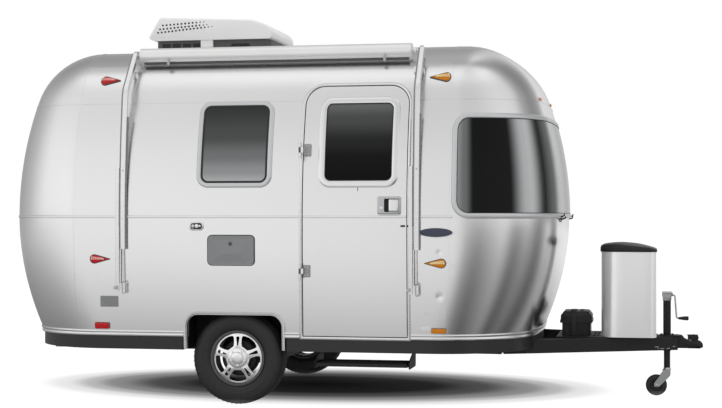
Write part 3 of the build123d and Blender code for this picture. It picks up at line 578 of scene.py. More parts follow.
def tube(path: Line, radius: Real, sides: int, squash: float = 1.0) -> Mesh:
    """Round or flattened bar along a line in space.

    A circle is carried along the line square to it, its axes turned as little as the
    bends allow.

    Args:
        path: points along the line.
        radius: radius, or one for each point.
        sides: points round the bar.
        squash: height of the section as a share of its width.

    Returns:
        The mesh.
    """
    path = np.asarray(path, float)
    way = unit(np.gradient(path, axis=0))
    first = np.array([0.0, 0.0, 1.0]) if abs(way[0, 2]) < 0.9 else np.array([1.0, 0.0, 0.0])
    across = np.zeros_like(path)
    for i, w in enumerate(way):
        last = first if i == 0 else across[i - 1]
        across[i] = unit(np.cross(w, np.cross(last, w)))
    other = np.cross(way, across)
    turn = np.linspace(0, 2 * np.pi, sides, endpoint=False)
    size = np.broadcast_to(np.asarray(radius, float), (len(path),))[:, None, None]
    ring = path[:, None] + size * (across[:, None] * (squash * np.sin(turn))[None, :, None] + other[:,
        None] * np.cos(turn)[None, :, None])
    return grid_mesh(ring[:, ::-1], False)


def turned(origin: Place, axis: Place, profile: Line, sides: int, hollow: bool = False) -> Mesh:
    """Turned shape: a profile of (distance along the axis, radius) spun round the axis.

    A hollow shape's profile is closed on itself; any other shape is capped at its ends.

    Args:
        origin: point that the profile starts from.
        axis: direction of the axis.
        profile: the profile.
        sides: points round the shape.
        hollow: whether the profile is closed on itself.

    Returns:
        The mesh.
    """
    axis = unit(np.asarray(axis, float))
    first = np.array([0.0, 0.0, 1.0]) if abs(axis[2]) < 0.9 else np.array([1.0, 0.0, 0.0])
    across = unit(np.cross(axis, first))
    other = np.cross(axis, across)
    turn = np.linspace(0, 2 * np.pi, sides, endpoint=False)
    along, radius = np.asarray(profile, float).T
    ring = across * np.cos(turn)[:, None] + other * np.sin(turn)[:, None]
    points = np.asarray(origin) + along[:, None, None] * axis + radius[:, None, None] * ring[None]
    return grid_mesh(points[:, ::-1], hollow)


def prism(outline: Line, origin: Place, across: Place, up: Place, depth: float) -> Mesh:
    """Flat outline pushed out square to its plane; across and up are the plane's axes.

    Args:
        outline: anticlockwise outline in the plane.
        origin: the plane's origin.
        across: first axis of the plane.
        up: second axis of the plane.
        depth: how far it is pushed out.

    Returns:
        The mesh.
    """
    outline, across, up = (np.asarray(v, float) for v in (outline, across, up))
    out = np.cross(across, up)
    flat = np.asarray(origin) + outline[:, :1] * across + outline[:, 1:] * up
    return grid_mesh(np.stack([flat, flat + depth * out])[:, ::-1], False)


def block(low: Place, high: Place, radius: float = 0.0) -> Mesh:
    """Block between two corners, its four upright edges rounded by radius."""
    outline = (rounded(low[:2], high[:2], radius, 5) if radius > 0
        else np.array([(low[0], low[1]), (high[0], low[1]), (high[0], high[1]), (low[0], high[1])]))
    return prism(outline, (0, 0, low[2]), X_AXIS, Y_AXIS, high[2] - low[2])


def domes(points: Array, normals: Array, radius: float, height: float) -> Mesh:
    """Rivet heads: a shallow dome of three rings of six points at each place.

    Args:
        points: places on the skin.
        normals: outward normals there.
        radius: radius of a head.
        height: height of a head.

    Returns:
        The mesh of all heads.
    """
    count = len(points)
    first = np.where(np.abs(normals[:, 2:]) < 0.9, [[0.0, 0.0, 1.0]], [[1.0, 0.0, 0.0]])
    across = unit(np.cross(normals, first))
    other = np.cross(normals, across)
    turn = np.arange(6) * np.pi / 3
    rings = []
    for share, lift in ((1.0, -0.3), (0.86, 0.55), (0.35, 1.0)):
        ring = across[:, None] * np.cos(turn)[None, :, None] + other[:, None] * np.sin(turn)[None, :, None]
        rings.append(points[:, None] + radius * share * ring + (height * lift) * normals[:, None])
    verts = np.concatenate(rings, 1).reshape(-1, 3)
    quads = [(6 * k + i, 6 * k + (i + 1) % 6, 6 * k + 6 + (i + 1) % 6, 6 * k + 6 + i) for k in range(2)
        for i in range(6)]
    offset = 18 * np.arange(count)[:, None, None]
    faces = (np.array(quads)[None] + offset).reshape(-1, 4)
    caps = (np.arange(12, 18)[None] + 18 * np.arange(count)[:, None])
    return Mesh.of(verts, [*faces, *caps])


def fit(name: str, mesh: Mesh | list[Mesh], paints: str | list[str],
        replaces: Sequence[str] = (), smooth: float = 35.0, body: str = "trailer", bevel: float = 0.0,
        segments: int = 2) -> bpy.types.Object:
    """Make an object of a mesh, give it its finishes and set it on its body.

    Args:
        name: name of the piece.
        mesh: its shape, or the parts of it.
        paints: its finish, or several in the order of the mesh's paint numbers.
        replaces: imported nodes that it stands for.
        smooth: edges sharper than this many degrees stay sharp.
        body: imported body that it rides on.
        bevel: width of the bevel on sharp edges, or 0.
        segments: segments of that bevel.

    Returns:
        The object.
    """
    mesh = join(mesh) if isinstance(mesh, list) else mesh
    data = bpy.data.meshes.new(name)
    data.from_pydata(mesh.points.tolist(), [], [f.tolist() for f in mesh.faces])
    data.polygons.foreach_set("material_index", mesh.paint.astype(np.int32))
    data.update()
    for paint in paints if isinstance(paints, list) else [paints]:
        data.materials.append(finish(paint))
    piece = bpy.data.objects.new(name, data)
    bpy.context.scene.collection.objects.link(piece)
    if mesh.normals is None:
        turn_outwards(data)
        data.shade_smooth()
        data.set_sharp_from_angle(angle=math.radians(smooth))
    else:
        data.shade_smooth()
        data.normals_split_custom_set(mesh.normals.tolist())
    if bevel:
        modifier = piece.modifiers.new("edges", "BEVEL")
        modifier.width = bevel
        modifier.segments = segments
        modifier.limit_method = "ANGLE"
        modifier.angle_limit = BEVEL_ANGLE
        modifier.harden_normals = True
    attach(piece, body)
    if replaces:
        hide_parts(*replaces)
    log.info("%-24s on %-14s %6d faces", name, body, len(mesh.faces))
    return piece


def turn_outwards(data: bpy.types.Mesh) -> None:
    """Turn every closed shell of a mesh so that its faces point outwards."""
    work = bmesh.new()
    work.from_mesh(data)
    bmesh.ops.recalc_face_normals(work, faces=work.faces[:])
    work.to_mesh(data)
    work.free()


# ------------------------------------------------------------------------------ finishes
class Graph:
    """Shader nodes put down by calls, where a value sets an input or links to it."""

    def __init__(self, tree: bpy.types.NodeTree) -> None:
        """Keep the tree that the nodes go into."""
        self.tree = tree

    def feed(self, node: bpy.types.Node, inputs: dict) -> None:
        """Link an input to each output that is given for it, or set it to the value."""
        for key, value in inputs.items():
            if isinstance(value, Socket):
                self.tree.links.new(value, node.inputs[key])
            else:
                node.inputs[key].default_value = value

    def add(self, kind: str, inputs: dict | None = None, **settings: object) -> bpy.types.Node:
        """New shader node of a kind, with these settings and inputs."""
        node = self.tree.nodes.new(f"ShaderNode{kind}")
        for name, value in settings.items():
            setattr(node, name, value)
        self.feed(node, inputs or {})
        return node

    def out(self, kind: str, output: str | int, inputs: dict | None = None, **settings: object) -> Socket:
        """One output of such a node."""
        return self.add(kind, inputs, **settings).outputs[output]

    def split(self, output: Socket) -> bpy.types.NodeOutputs:
        """X, Y and Z of a vector."""
        return self.add("SeparateXYZ", {0: output}).outputs

    def maths(self, kind: str, *values: object) -> Socket:
        """Output of a maths node fed by outputs and numbers."""
        return self.out("Math", 0, dict(enumerate(values)), operation=kind)

    def mix(self, share: Socket, first: object, second: object) -> Socket:
        """Colour between two colours."""
        return self.out("Mix", "Result", {"Factor": share, "A": first, "B": second}, data_type="RGBA")

    def ramp(self, stops: Line, share: Socket, ease: str = "LINEAR", cast: tuple[float, float, float] = (1,
            1, 1)) -> Socket:
        """Colour ramp of greys with a colour cast, for stops of (place, grey).

        Args:
            stops: the stops.
            share: place on the ramp.
            ease: how the ramp runs between stops.
            cast: red, green and blue of a full grey.

        Returns:
            The colour.
        """
        node = self.add("ValToRGB", {"Fac": share})
        node.color_ramp.interpolation = ease
        elements = node.color_ramp.elements
        while len(elements) < len(stops):
            elements.new(0.5)
        for element, (at, grey) in zip(elements, sorted(stops)):
            element.position = at
            element.color = (*(grey * c for c in cast), 1)
        return node.outputs["Color"]


def new_group(name: str, inputs: dict[str, str], output: Sequence[str]) -> tuple[Graph,
        bpy.types.NodeOutputs, bpy.types.Node]:
    """New shader node group.

    Args:
        name: name of the group.
        inputs: kind of each input, by its name.
        output: names of its outputs, which are all numbers.

    Returns:
        Its graph, what its inputs give, and the node that takes its outputs.
    """
    tree = bpy.data.node_groups.new(name, "ShaderNodeTree")
    for key, kind in inputs.items():
        tree.interface.new_socket(key, in_out="INPUT", socket_type=f"NodeSocket{kind}")
    for key in output:
        tree.interface.new_socket(key, in_out="OUTPUT", socket_type="NodeSocketFloat")
    source, sink = tree.nodes.new("NodeGroupInput"), tree.nodes.new("NodeGroupOutput")
    return Graph(tree), source.outputs, sink


def new_material(name: str) -> tuple[bpy.types.Material, Graph, bpy.types.Node]:
    """New material, the graph of its nodes, and its own shader."""
    paint = bpy.data.materials.new(name)
    paint.use_nodes = True
    return paint, Graph(paint.node_tree), paint.node_tree.nodes["Principled BSDF"]


@cache
def texture_break() -> bpy.types.NodeTree:
    """Group giving a slow colour tone and a fine height.

    Object coordinates are stretched, one noise at the grain's scale gives the height
    and another, at a coarse scale of its own, gives the slow tone.
    """
    graph, given, sink = new_group("finish_break", {"Scale": "Float", "Stretch": "Vector"},
        ("Tone", "Height"))
    place = graph.out("TexCoord", "Object")
    stretched = graph.out("VectorMath", 0, {0: place, 1: given["Stretch"]}, operation="MULTIPLY")
    fine = graph.out("TexNoise", "Fac", {"Vector": stretched, "Scale": given["Scale"], "Detail": 3.0})
    slow = graph.out("TexNoise", "Fac", {"Vector": place, "Scale": 2.3, "Detail": 4.0})
    graph.feed(sink, {"Tone": slow, "Height": fine})
    return graph.tree


@cache
def road_dust() -> bpy.types.NodeTree:
    """Group giving a mask that fades out with height, broken up by noise."""
    graph, given, sink = new_group("road_dust", {"Top": "Float"}, ("Mask",))
    place = graph.out("TexCoord", "Object")
    fall = graph.out("MapRange", "Result", {"Value": graph.split(place)["Z"], "From Min": 0.0,
        "From Max": given["Top"], "To Min": 1.0, "To Max": 0.0})
    noise = graph.out("TexNoise", "Fac", {"Vector": place, "Scale": 14.0, "Detail": 5.0})
    graph.feed(sink, {"Mask": graph.maths("MULTIPLY", fall, noise)})
    return graph.tree


@dataclass(frozen=True)
class Finish:
    """A finish: its colour, how it shines, its grain and how dusty it is."""

    name: str
    colour: tuple[float, float, float]
    metallic: float = 0.0
    rough: tuple[float, float] = (0.4, 0.5)
    grain: Grain = Grain.SMOOTH
    bump: float = 0.1
    bump_mm: float = 0.05
    vary: float = 0.06
    coat: float = 0.0
    dust: float = 0.0
    shine: float = 0.5

    def make(self) -> bpy.types.Material:
        """Build the material: tone varies the colour and roughness, height the bump."""
        paint, graph, shader = new_material(self.name)
        paint.diffuse_color = (*self.colour, 1.0)
        scale, stretch = self.grain.value
        grain = graph.add("Group", {"Scale": scale, "Stretch": stretch}, node_tree=texture_break()).outputs
        pale, deep = ((*(min(1, c * (1 + way * self.vary)) for c in self.colour), 1) for way in (1, -1))
        colour = graph.mix(grain["Tone"], deep, pale)
        rough = graph.out("MapRange", "Result", {"Value": grain["Height"], "From Min": 0.3, "From Max": 0.7,
            "To Min": self.rough[0], "To Max": self.rough[1]})
        if self.dust:
            mask = graph.out("Group", "Mask", {"Top": self.dust}, node_tree=road_dust())
            colour = graph.mix(mask, colour, (*DUST_COLOUR, 1))
        bump = graph.out("Bump", "Normal", {"Strength": self.bump, "Distance": self.bump_mm / 1000,
            "Height": grain["Height"]})
        graph.feed(shader, {"Base Color": colour, "Roughness": rough, "Normal": bump,
            "Metallic": self.metallic, "Specular IOR Level": self.shine, "Coat Weight": self.coat,
            "Coat Roughness": 0.06})
        return paint


@dataclass(frozen=True)
class ReflectionPaintedGlass:
    """Dark window glass whose grey is graded by height or, between no heights, by its heading: the grading
    is painted reflection.
    """

    name: str
    stops: tuple[tuple[float, float], ...]
    low: float = 0.0
    high: float = 0.0

    @staticmethod
    def heading(graph: Graph) -> Socket:
        """Heading of the surface: 0 where it faces a side, 1 where it faces an end."""
        facing = graph.split(graph.out("NewGeometry", "Normal"))
        sizes = [graph.maths("ABSOLUTE", facing[axis]) for axis in "XY"]
        return graph.maths("MULTIPLY", graph.maths("ARCTAN2", *sizes), 2 / math.pi)

    def make(self) -> bpy.types.Material:
        """Build the material: height or heading runs a grey ramp of painted reflection under a faint shine.
        """
        paint, graph, shader = new_material(self.name)
        paint.diffuse_color = (0.02, 0.02, 0.025, 1.0)
        if self.high > self.low:
            span = {"Value": graph.split(graph.out("TexCoord", "Object"))["Z"], "From Min": self.low,
                "From Max": self.high}
        else:
            span = {"Value": self.heading(graph)}
        share = graph.out("MapRange", "Result", span)
        graph.feed(shader, {"Base Color": graph.ramp(self.stops, share, "EASE", (0.975, 1, 1.01)),
            "Roughness": 0.06, "Specular IOR Level": 0.1})
        return paint


FINISHES = {
    "skin": Finish("polished_aluminium", (0.79, 0.79, 0.79), 1.0, (0.19, 0.25), Grain.ROLLED, 0.06, 0.12,
        0.012),
    "trim": Finish("anodised_trim", (0.8, 0.8, 0.81), 1.0, (0.24, 0.34), Grain.ROLLED, 0.1, 0.05, 0.04),
    "door_skin": Finish("door_aluminium", (0.785, 0.785, 0.785), 1.0, (0.23, 0.26), Grain.ROLLED, 0.02,
        0.05, 0.012),
    "window_frame": Finish("window_frame_grey", (0.62, 0.63, 0.64), 0.6, (0.3, 0.42), Grain.CAST, 0.1,
        0.05),
    "seal": Finish("rubber_seal", (0.02, 0.02, 0.021), 0.0, (0.6, 0.75), Grain.RUBBER, 0.3, 0.1),
    "hinge": Finish("hinge_grey", (0.34, 0.34, 0.345), 0.2, (0.38, 0.5), Grain.CAST, 0.2, 0.1, 0.05),
    # Glass greys are painted reflection: bright bands by heading on the front glass, lighter low on side
    # and rear glass, lighter high on door glass.
    "glass": ReflectionPaintedGlass("tinted_glass", ((0.0, 0.32), (0.055, 0.17), (0.115, 0.006), (0.365, 0.006), (0.5, 0.5),
        (0.535, 0.54), (0.67, 0.035), (0.8, 0.13), (0.94, 0.42), (0.985, 0.02))),
    "side_glass": ReflectionPaintedGlass("side_window_glass", ((0.0, 0.5), (0.16, 0.32), (0.35, 0.19), (0.6, 0.08),
        (1.0, 0.038)), 1.548, 2.096),
    "door_tint": ReflectionPaintedGlass("door_window_glass", ((0.0, 0.001), (0.28, 0.004), (0.5, 0.018), (0.8, 0.075),
        (1.0, 0.15)), 1.562, 2.1),
    "liner": Finish("cabin_liner", (0.6, 0.58, 0.54), 0.0, (0.6, 0.75), Grain.MOULDED, 0.3, 0.2),
    "black": Finish("black_steel", (0.018, 0.018, 0.019), 0.0, (0.42, 0.6), Grain.PAINTED, 0.2, 0.2, 0.2,
        dust=0.12, shine=0.28),
    "skirt": Finish("black_skirt", (0.016, 0.016, 0.017), 0.0, (0.3, 0.42), Grain.PAINTED, 0.15, 0.2, 0.2),
    "zinc": Finish("zinc_plate", (0.55, 0.56, 0.57), 1.0, (0.32, 0.5), Grain.CAST, 0.3, 0.2, 0.12),
    "tyre": Finish("tyre_rubber", (0.02, 0.02, 0.0205), 0.0, (0.5, 0.65), Grain.RUBBER, 0.3, 0.2, 0.15,
        dust=0.04, shine=0.5),
    "alloy": Finish("alloy", (0.93, 0.93, 0.935), 1.0, (0.2, 0.3), Grain.CAST, 0.08, 0.05, 0.04),
    "alloy_shade_painted": Finish("alloy_painted_shadow", (0.2, 0.2, 0.21), 0.8, (0.4, 0.55), Grain.CAST, 0.1, 0.05),
    "white": Finish("white_plastic", (0.94, 0.94, 0.935), 0.0, (0.34, 0.42), Grain.MOULDED, 0.2, 0.1, 0.02),
    "grey": Finish("grey_plastic", (0.085, 0.085, 0.088), 0.0, (0.4, 0.5), Grain.MOULDED, 0.3, 0.2, 0.05),
    "plastic": Finish("black_plastic", (0.02, 0.02, 0.021), 0.0, (0.36, 0.5), Grain.MOULDED, 0.4, 0.3, 0.1,
        shine=0.3),
    "red": Finish("red_lens", (0.5, 0.004, 0.006), 0.0, (0.08, 0.14), Grain.SMOOTH, 0.0, 0.0, 0.05,
        coat=0.15, shine=0.3),
    "amber": Finish("amber_lens", (0.62, 0.2, 0.003), 0.0, (0.08, 0.14), Grain.SMOOTH, 0.0, 0.0, 0.05,
        coat=0.15, shine=0.3),
    "clear": Finish("clear_lens", (0.7, 0.7, 0.7), 0.0, (0.06, 0.1), Grain.SMOOTH, 0.0, 0.0, 0.02,
        coat=1.0),
    "awning": Finish("awning_satin", (0.86, 0.86, 0.855), 0.55, (0.34, 0.42), Grain.MOULDED, 0.2, 0.2,
        0.05),
    # Pale bead colours are painted highlights on the lamps' raised beads.
    "red_bead": Finish("red_lens_bead", (1.0, 0.5, 0.46), 0.0, (0.08, 0.14), Grain.SMOOTH, 0.0, 0.0, 0.05,
        coat=1.0),
    "amber_bead": Finish("amber_lens_bead", (1.0, 0.86, 0.42), 0.0, (0.08, 0.14), Grain.SMOOTH, 0.0, 0.0,
        0.05, coat=1.0),
    "grey_cover": Finish("grey_cover", (0.245, 0.25, 0.255), 0.0, (0.38, 0.5), Grain.MOULDED, 0.2, 0.1,
        0.04),
    "oval": Finish("blank_plate_blue", (0.045, 0.055, 0.085), 0.2, (0.25, 0.35), Grain.SMOOTH, 0.1, 0.05,
        0.04),
    "cover": Finish("cover_metal", (0.98, 0.98, 0.98), 0.5, (0.2, 0.24), Grain.ROLLED, 0.04, 0.05, 0.005),
    "bottle": Finish("bottle_paint", (0.7, 0.7, 0.69), 0.0, (0.3, 0.4), Grain.PAINTED, 0.1, 0.1),
    "floor": Finish("floor_ply", (0.16, 0.12, 0.085), 0.0, (0.55, 0.7), Grain.ROLLED, 0.3, 0.3, 0.15),
    # Near-black: the wheel-well liner's own colour, painted shade in the tyre sipes and the latch recess,
    # and the door window's dark joint.
    "well": Finish("black_liner_and_painted_shade", (0.012, 0.012, 0.012), 0.0, (0.7, 0.85), Grain.RUBBER, 0.3, 0.3,
        0.2),
}
SLOT_FINISHES = {
    "aluminium": "skin", "trim": "trim", "door_skin": "door_skin", "window_frame": "window_frame",
    "tinted_glass": "glass", "black_steel": "black", "galvanised": "zinc", "tyre": "tyre",
    "alloy": "alloy", "white_plastic": "white", "grey_plastic": "grey", "black_plastic": "plastic",
    "red_lens": "red", "amber_lens": "amber", "cover_metal": "cover", "bottle": "bottle",
    "floor": "floor", "liner": "well",
}


@cache
def finish(name: str) -> bpy.types.Material:
    """The material of one of the finishes, made once."""
    return FINISHES[name].make()


# ---------------------------------------------------------------------------- body panels
@dataclass
class Openings:
    """Openings and seams of the body, by their places along the wall and their heights."""

    rear_seam: float = ahead(-1.18)
    front_seam: float = ahead(1.5)
    roof_seam: float = 2.4
    side_window: tuple = ((ahead(-0.24), 1.548), (ahead(0.24), 2.096), 0.055)
    front_window: tuple = ((ahead(1.557), 1.338), (SHELL.across(ahead(1.557)), 1.99), 0.085)
    rear_window: tuple = ((SHELL.rear_u(0.48), 1.43), (SHELL.rear_u(-0.48), 1.96), 0.055)
    door: tuple = ((ahead(0.494), 0.496), (ahead(1.216), 2.221), 0.13)
    door_glass: tuple = ((ahead(0.644), 1.562), (ahead(1.112), 2.1), 0.042)
    arch: tuple = ((ahead(-0.345), 0.1), (ahead(0.345), 0.638), 0.085)
    hatch: tuple = ((ahead(-0.181), 0.984), (ahead(0.147), 1.183), 0.026)

    @staticmethod
    def loop(opening: tuple, grow: float = 0.0) -> Array:
        """Outline of an opening in (u, s), grown by a margin."""
        low, high, radius = opening
        low = (low[0] - grow, low[1] - grow)
        high = (high[0] + grow, high[1] + grow)
        line = fill_in(rounded(low, high, max(radius + grow, 0.002), 8), 0.04)
        return SHELL.on_wall(line)

    def doorway(self, grow: float = 0.0) -> Array:
        """Outline of the door, rounded at its upper corners only, in (u, s)."""
        low, high, radius = self.door
        low, high = (low[0] - grow, low[1] - grow), (high[0] + grow, high[1] + grow)
        line = rounded(low, high, radius + grow, 8)[:18]
        return SHELL.on_wall(fill_in(np.concatenate([line, [low, (high[0], low[1])]]), 0.04))

    @staticmethod
    def mirrored(loop: Array) -> Array:
        """The same line on the street side, turned to run the same way round."""
        return np.stack([SHELL.across(loop[:, 0]), loop[:, 1]], -1)[::-1]


OPENINGS = Openings()


@dataclass
class BodyPanels:
    """The aluminium skin: two sides, roof and both end caps, with seams and rivets."""

    wall: float = 0.05
    step: float = 0.055
    seam_half: float = 0.011
    seam_proud: float = 0.0012
    rivet_r: float = 0.0036
    rivet_gap: float = 0.042
    dents: tuple = ((1.438, 1.075, 0.03, 0.0022), (1.44, 0.775, 0.038, 0.0035))
    upper_seam: float = 2.13

    def dented(self, flat: Array) -> Array:
        """Depth of the dents at pattern points: a sum of round bell curves."""
        depth = np.zeros(len(flat))
        for x, z, width, deep in self.dents:
            away = (flat[:, 0] - ahead(x)) ** 2 + (flat[:, 1] - SHELL.s_of(z)) ** 2
            depth -= deep * np.exp(-away / (0.5 * width) ** 2)
        return depth

    def dent_points(self) -> Array:
        """Rings of extra pattern points round each dent."""
        rings = [(ahead(x), float(SHELL.s_of(z))) + r * width * circle(14) for x, z, width, _ in self.dents
            for r in (0.15, 0.4, 0.65, 0.9, 1.3)]
        return np.concatenate(rings)

    def side(self, side: Side, paints: list) -> None:
        """One side wall, with its window, wheel arch, doorway and hatch opening."""
        o = OPENINGS
        outline = SHELL.on_wall(np.array([(o.rear_seam, SHELL.sill_z), (o.front_seam, SHELL.sill_z),
            (o.front_seam, o.roof_seam), (o.rear_seam, o.roof_seam)]))
        holes = [o.loop(o.side_window), o.loop(o.arch)]
        if side is Side.STREET:
            holes = [o.mirrored(h) for h in holes]
            mesh = sheet(Pattern(o.mirrored(outline), holes, self.step), 0.0, self.wall)
            fit("street_wall_skin", mesh, paints, ["wall_street"])
            return
        holes += [o.doorway(0.006), o.loop(o.hatch, -0.015)]
        pattern = Pattern(outline, holes, self.step, self.dent_points())
        mesh = sheet(pattern, 0.0, self.wall, relief=self.dented)
        fit("curb_wall_skin", mesh, paints, ["wall_curb_rear", "wall_curb_front"])

    def roof(self, paints: list) -> None:
        """The roof between the end caps, over the knee to the top of each side wall."""
        o = OPENINGS
        reach = SHELL.flat_y + SHELL.top_s - float(SHELL.s_of(o.roof_seam))
        outline = np.array([(o.rear_seam, -reach), (o.front_seam, -reach), (o.front_seam, reach),
            (o.rear_seam, reach)])
        mesh = sheet(Pattern(outline, (), 0.06), 0.0, self.wall, surface=SHELL.roof)
        fit("roof_skin", mesh, paints, ["roof_panel"])

    def end(self, front: bool, paints: list) -> None:
        """One end cap: its wall up to the flat roof, and the flat roof over it."""
        o = OPENINGS
        seam = o.front_seam if front else o.rear_seam
        far = SHELL.across(seam)
        first, last = (seam, far) if front else (far - SHELL.total, seam)
        low, high = SHELL.sill_z - SHELL.belt_z, SHELL.top_s - TINY
        outline = np.array([(first, low), (last, low), (last, high), (first, high)])
        hole = o.loop(o.front_window if front else o.rear_window)
        wall = sheet(Pattern(outline, [hole], self.step), 0.0, self.wall)
        us = np.linspace(first, last, 120)
        edge = SHELL.skin(us, np.full(len(us), SHELL.top_s))[:, :2]
        steps = np.linalg.norm(np.diff(edge, axis=0), axis=1)
        edge = edge[np.concatenate([[True], steps > 1e-5])]
        cap = sheet(Pattern(edge, (), 0.09), 0.0, self.wall, surface=SHELL.roof)
        name = "front" if front else "rear"
        fit(f"{name}_cap_skin", [wall, cap], paints, [f"end_cap_{name}"])

    def seams(self) -> None:
        """Lap strips over the panel joints, and the rivets along them."""
        o = OPENINGS
        strip = np.array([(-self.seam_half, -0.001), (self.seam_half, -0.001), (self.seam_half - 0.001,
            self.seam_proud), (-self.seam_half + 0.001, self.seam_proud)])
        lines = []
        for seam in (o.rear_seam, o.front_seam):
            for u in (seam, SHELL.across(seam)):
                top = SHELL.top_s - 0.004
                lines.append(np.stack([np.full(90, u), np.linspace(SHELL.s_of(0.52), top, 90)], -1))
        us = np.linspace(o.door[1][0] + 0.03, SHELL.total + o.door[0][0] - 0.03, 420)
        lines.append(np.stack([us, np.full(len(us), float(SHELL.s_of(self.upper_seam)))], -1))
        parts, spots = [], []
        for line in lines:
            parts.append(moulding(line, strip, closed=False))
            length = np.concatenate([[0], np.cumsum(np.linalg.norm(np.diff(line, axis=0), axis=1))])
            along = np.arange(self.rivet_gap / 2, length[-1], self.rivet_gap)
            spots.append(np.stack([np.interp(along, length, line[:, k]) for k in range(2)], -1))
        for x in (o.rear_seam, o.front_seam):
            ts = np.linspace(-SHELL.flat_y, SHELL.flat_y, 30)
            parts.append(moulding(np.stack([np.full(30, x), ts], -1), strip, closed=False,
                surface=SHELL.roof))
        spot = np.concatenate(spots)
        rivets = domes(SHELL.place(spot, self.seam_proud), SHELL.normal(spot[:, 0], spot[:, 1]),
            self.rivet_r, 0.0012)
        fit("panel_seams", parts, "skin")
        fit("panel_rivets", rivets, "skin")

    def build(self) -> None:
        """Build every panel."""
        paints = ["skin", "liner"]
        for side in Side:
            self.side(side, paints)
        self.roof(paints)
        self.end(True, paints)
        self.end(False, paints)
        self.seams()


# -------------------------------------------------------------------------------- windows
@dataclass
class Windows:
    """Fixed windows: glass, black seal and a rounded grey frame on the skin."""

    frame: float = 0.03
    front_frame: float = 0.034
    proud: float = 0.0135
    glass_out: float = 0.008
    mullion_turn: float = 62.0

    def frame_profile(self, width: float) -> Array:
        """Cross-section of a frame: a low crown, rolled down at both edges."""
        return np.array([(-0.003, 0.001), (width, 0.001), (width, 0.006), (width - 0.004, 0.011),
            (width - 0.01, self.proud), (0.006, self.proud), (0.0, 0.0115), (-0.003, 0.0085)])

    def window(self, name: str, loop: Array, width: float, glass: str, seal_width: float = 0.016) -> None:
        """One window: frame, seal and glass.

        Args:
            name: name of the window.
            loop: outline of its opening in (u, s).
            width: width of the frame.
            glass: finish of the pane.
            seal_width: width of the seal.
        """
        seal = np.array([(-seal_width, 0.002), (-0.002, 0.002), (-0.002, 0.0108), (-seal_width, 0.0092)])
        fit(f"{name}_frame", moulding(loop, self.frame_profile(width)), "window_frame",
            ["window_frames"])
        fit(f"{name}_seal", moulding(loop, seal), "seal", ["window_frames"])
        pane = sheet(Pattern(loop, (), 0.08), self.glass_out, 0.005, (0, 0, 0))
        fit(f"{name}_glass", pane, glass, ["window_glass"])

    def build(self) -> None:
        """Build the four windows and the bars of the wrap-round one."""
        o = OPENINGS
        loop = o.loop(o.side_window)
        self.window("curb_window", loop, self.frame, "side_glass")
        self.window("street_window", o.mirrored(loop), self.frame, "side_glass")
        self.window("front_window", o.loop(o.front_window), self.front_frame, "glass", 0.006)
        self.window("rear_window", o.loop(o.rear_window), self.frame, "side_glass")
        front_x = SHELL.spans()[0]
        at = front_x + SHELL.corner_r * math.radians(self.mullion_turn)
        parts = []
        for u in (at, SHELL.across(at)):
            line = np.stack([np.full(30, u), np.linspace(SHELL.s_of(1.342), SHELL.s_of(1.986), 30)], -1)
            bar = mm((-8, 2), (8, 2), (8, 10), (3, 12.5), (-3, 12.5), (-8, 10))
            parts.append(moulding(line, bar, closed=False))
        fit("front_window_bars", parts, "seal", ["window_mullions"])


# ----------------------------------------------------------------------------- body trims
BELT_PROFILE = mm((10, 0.5), (9.5, 3.2), (7, 5.2), (2, 5), (-2, 5), (-7, 5.6), (-9.5, 4), (-10, 0.5))


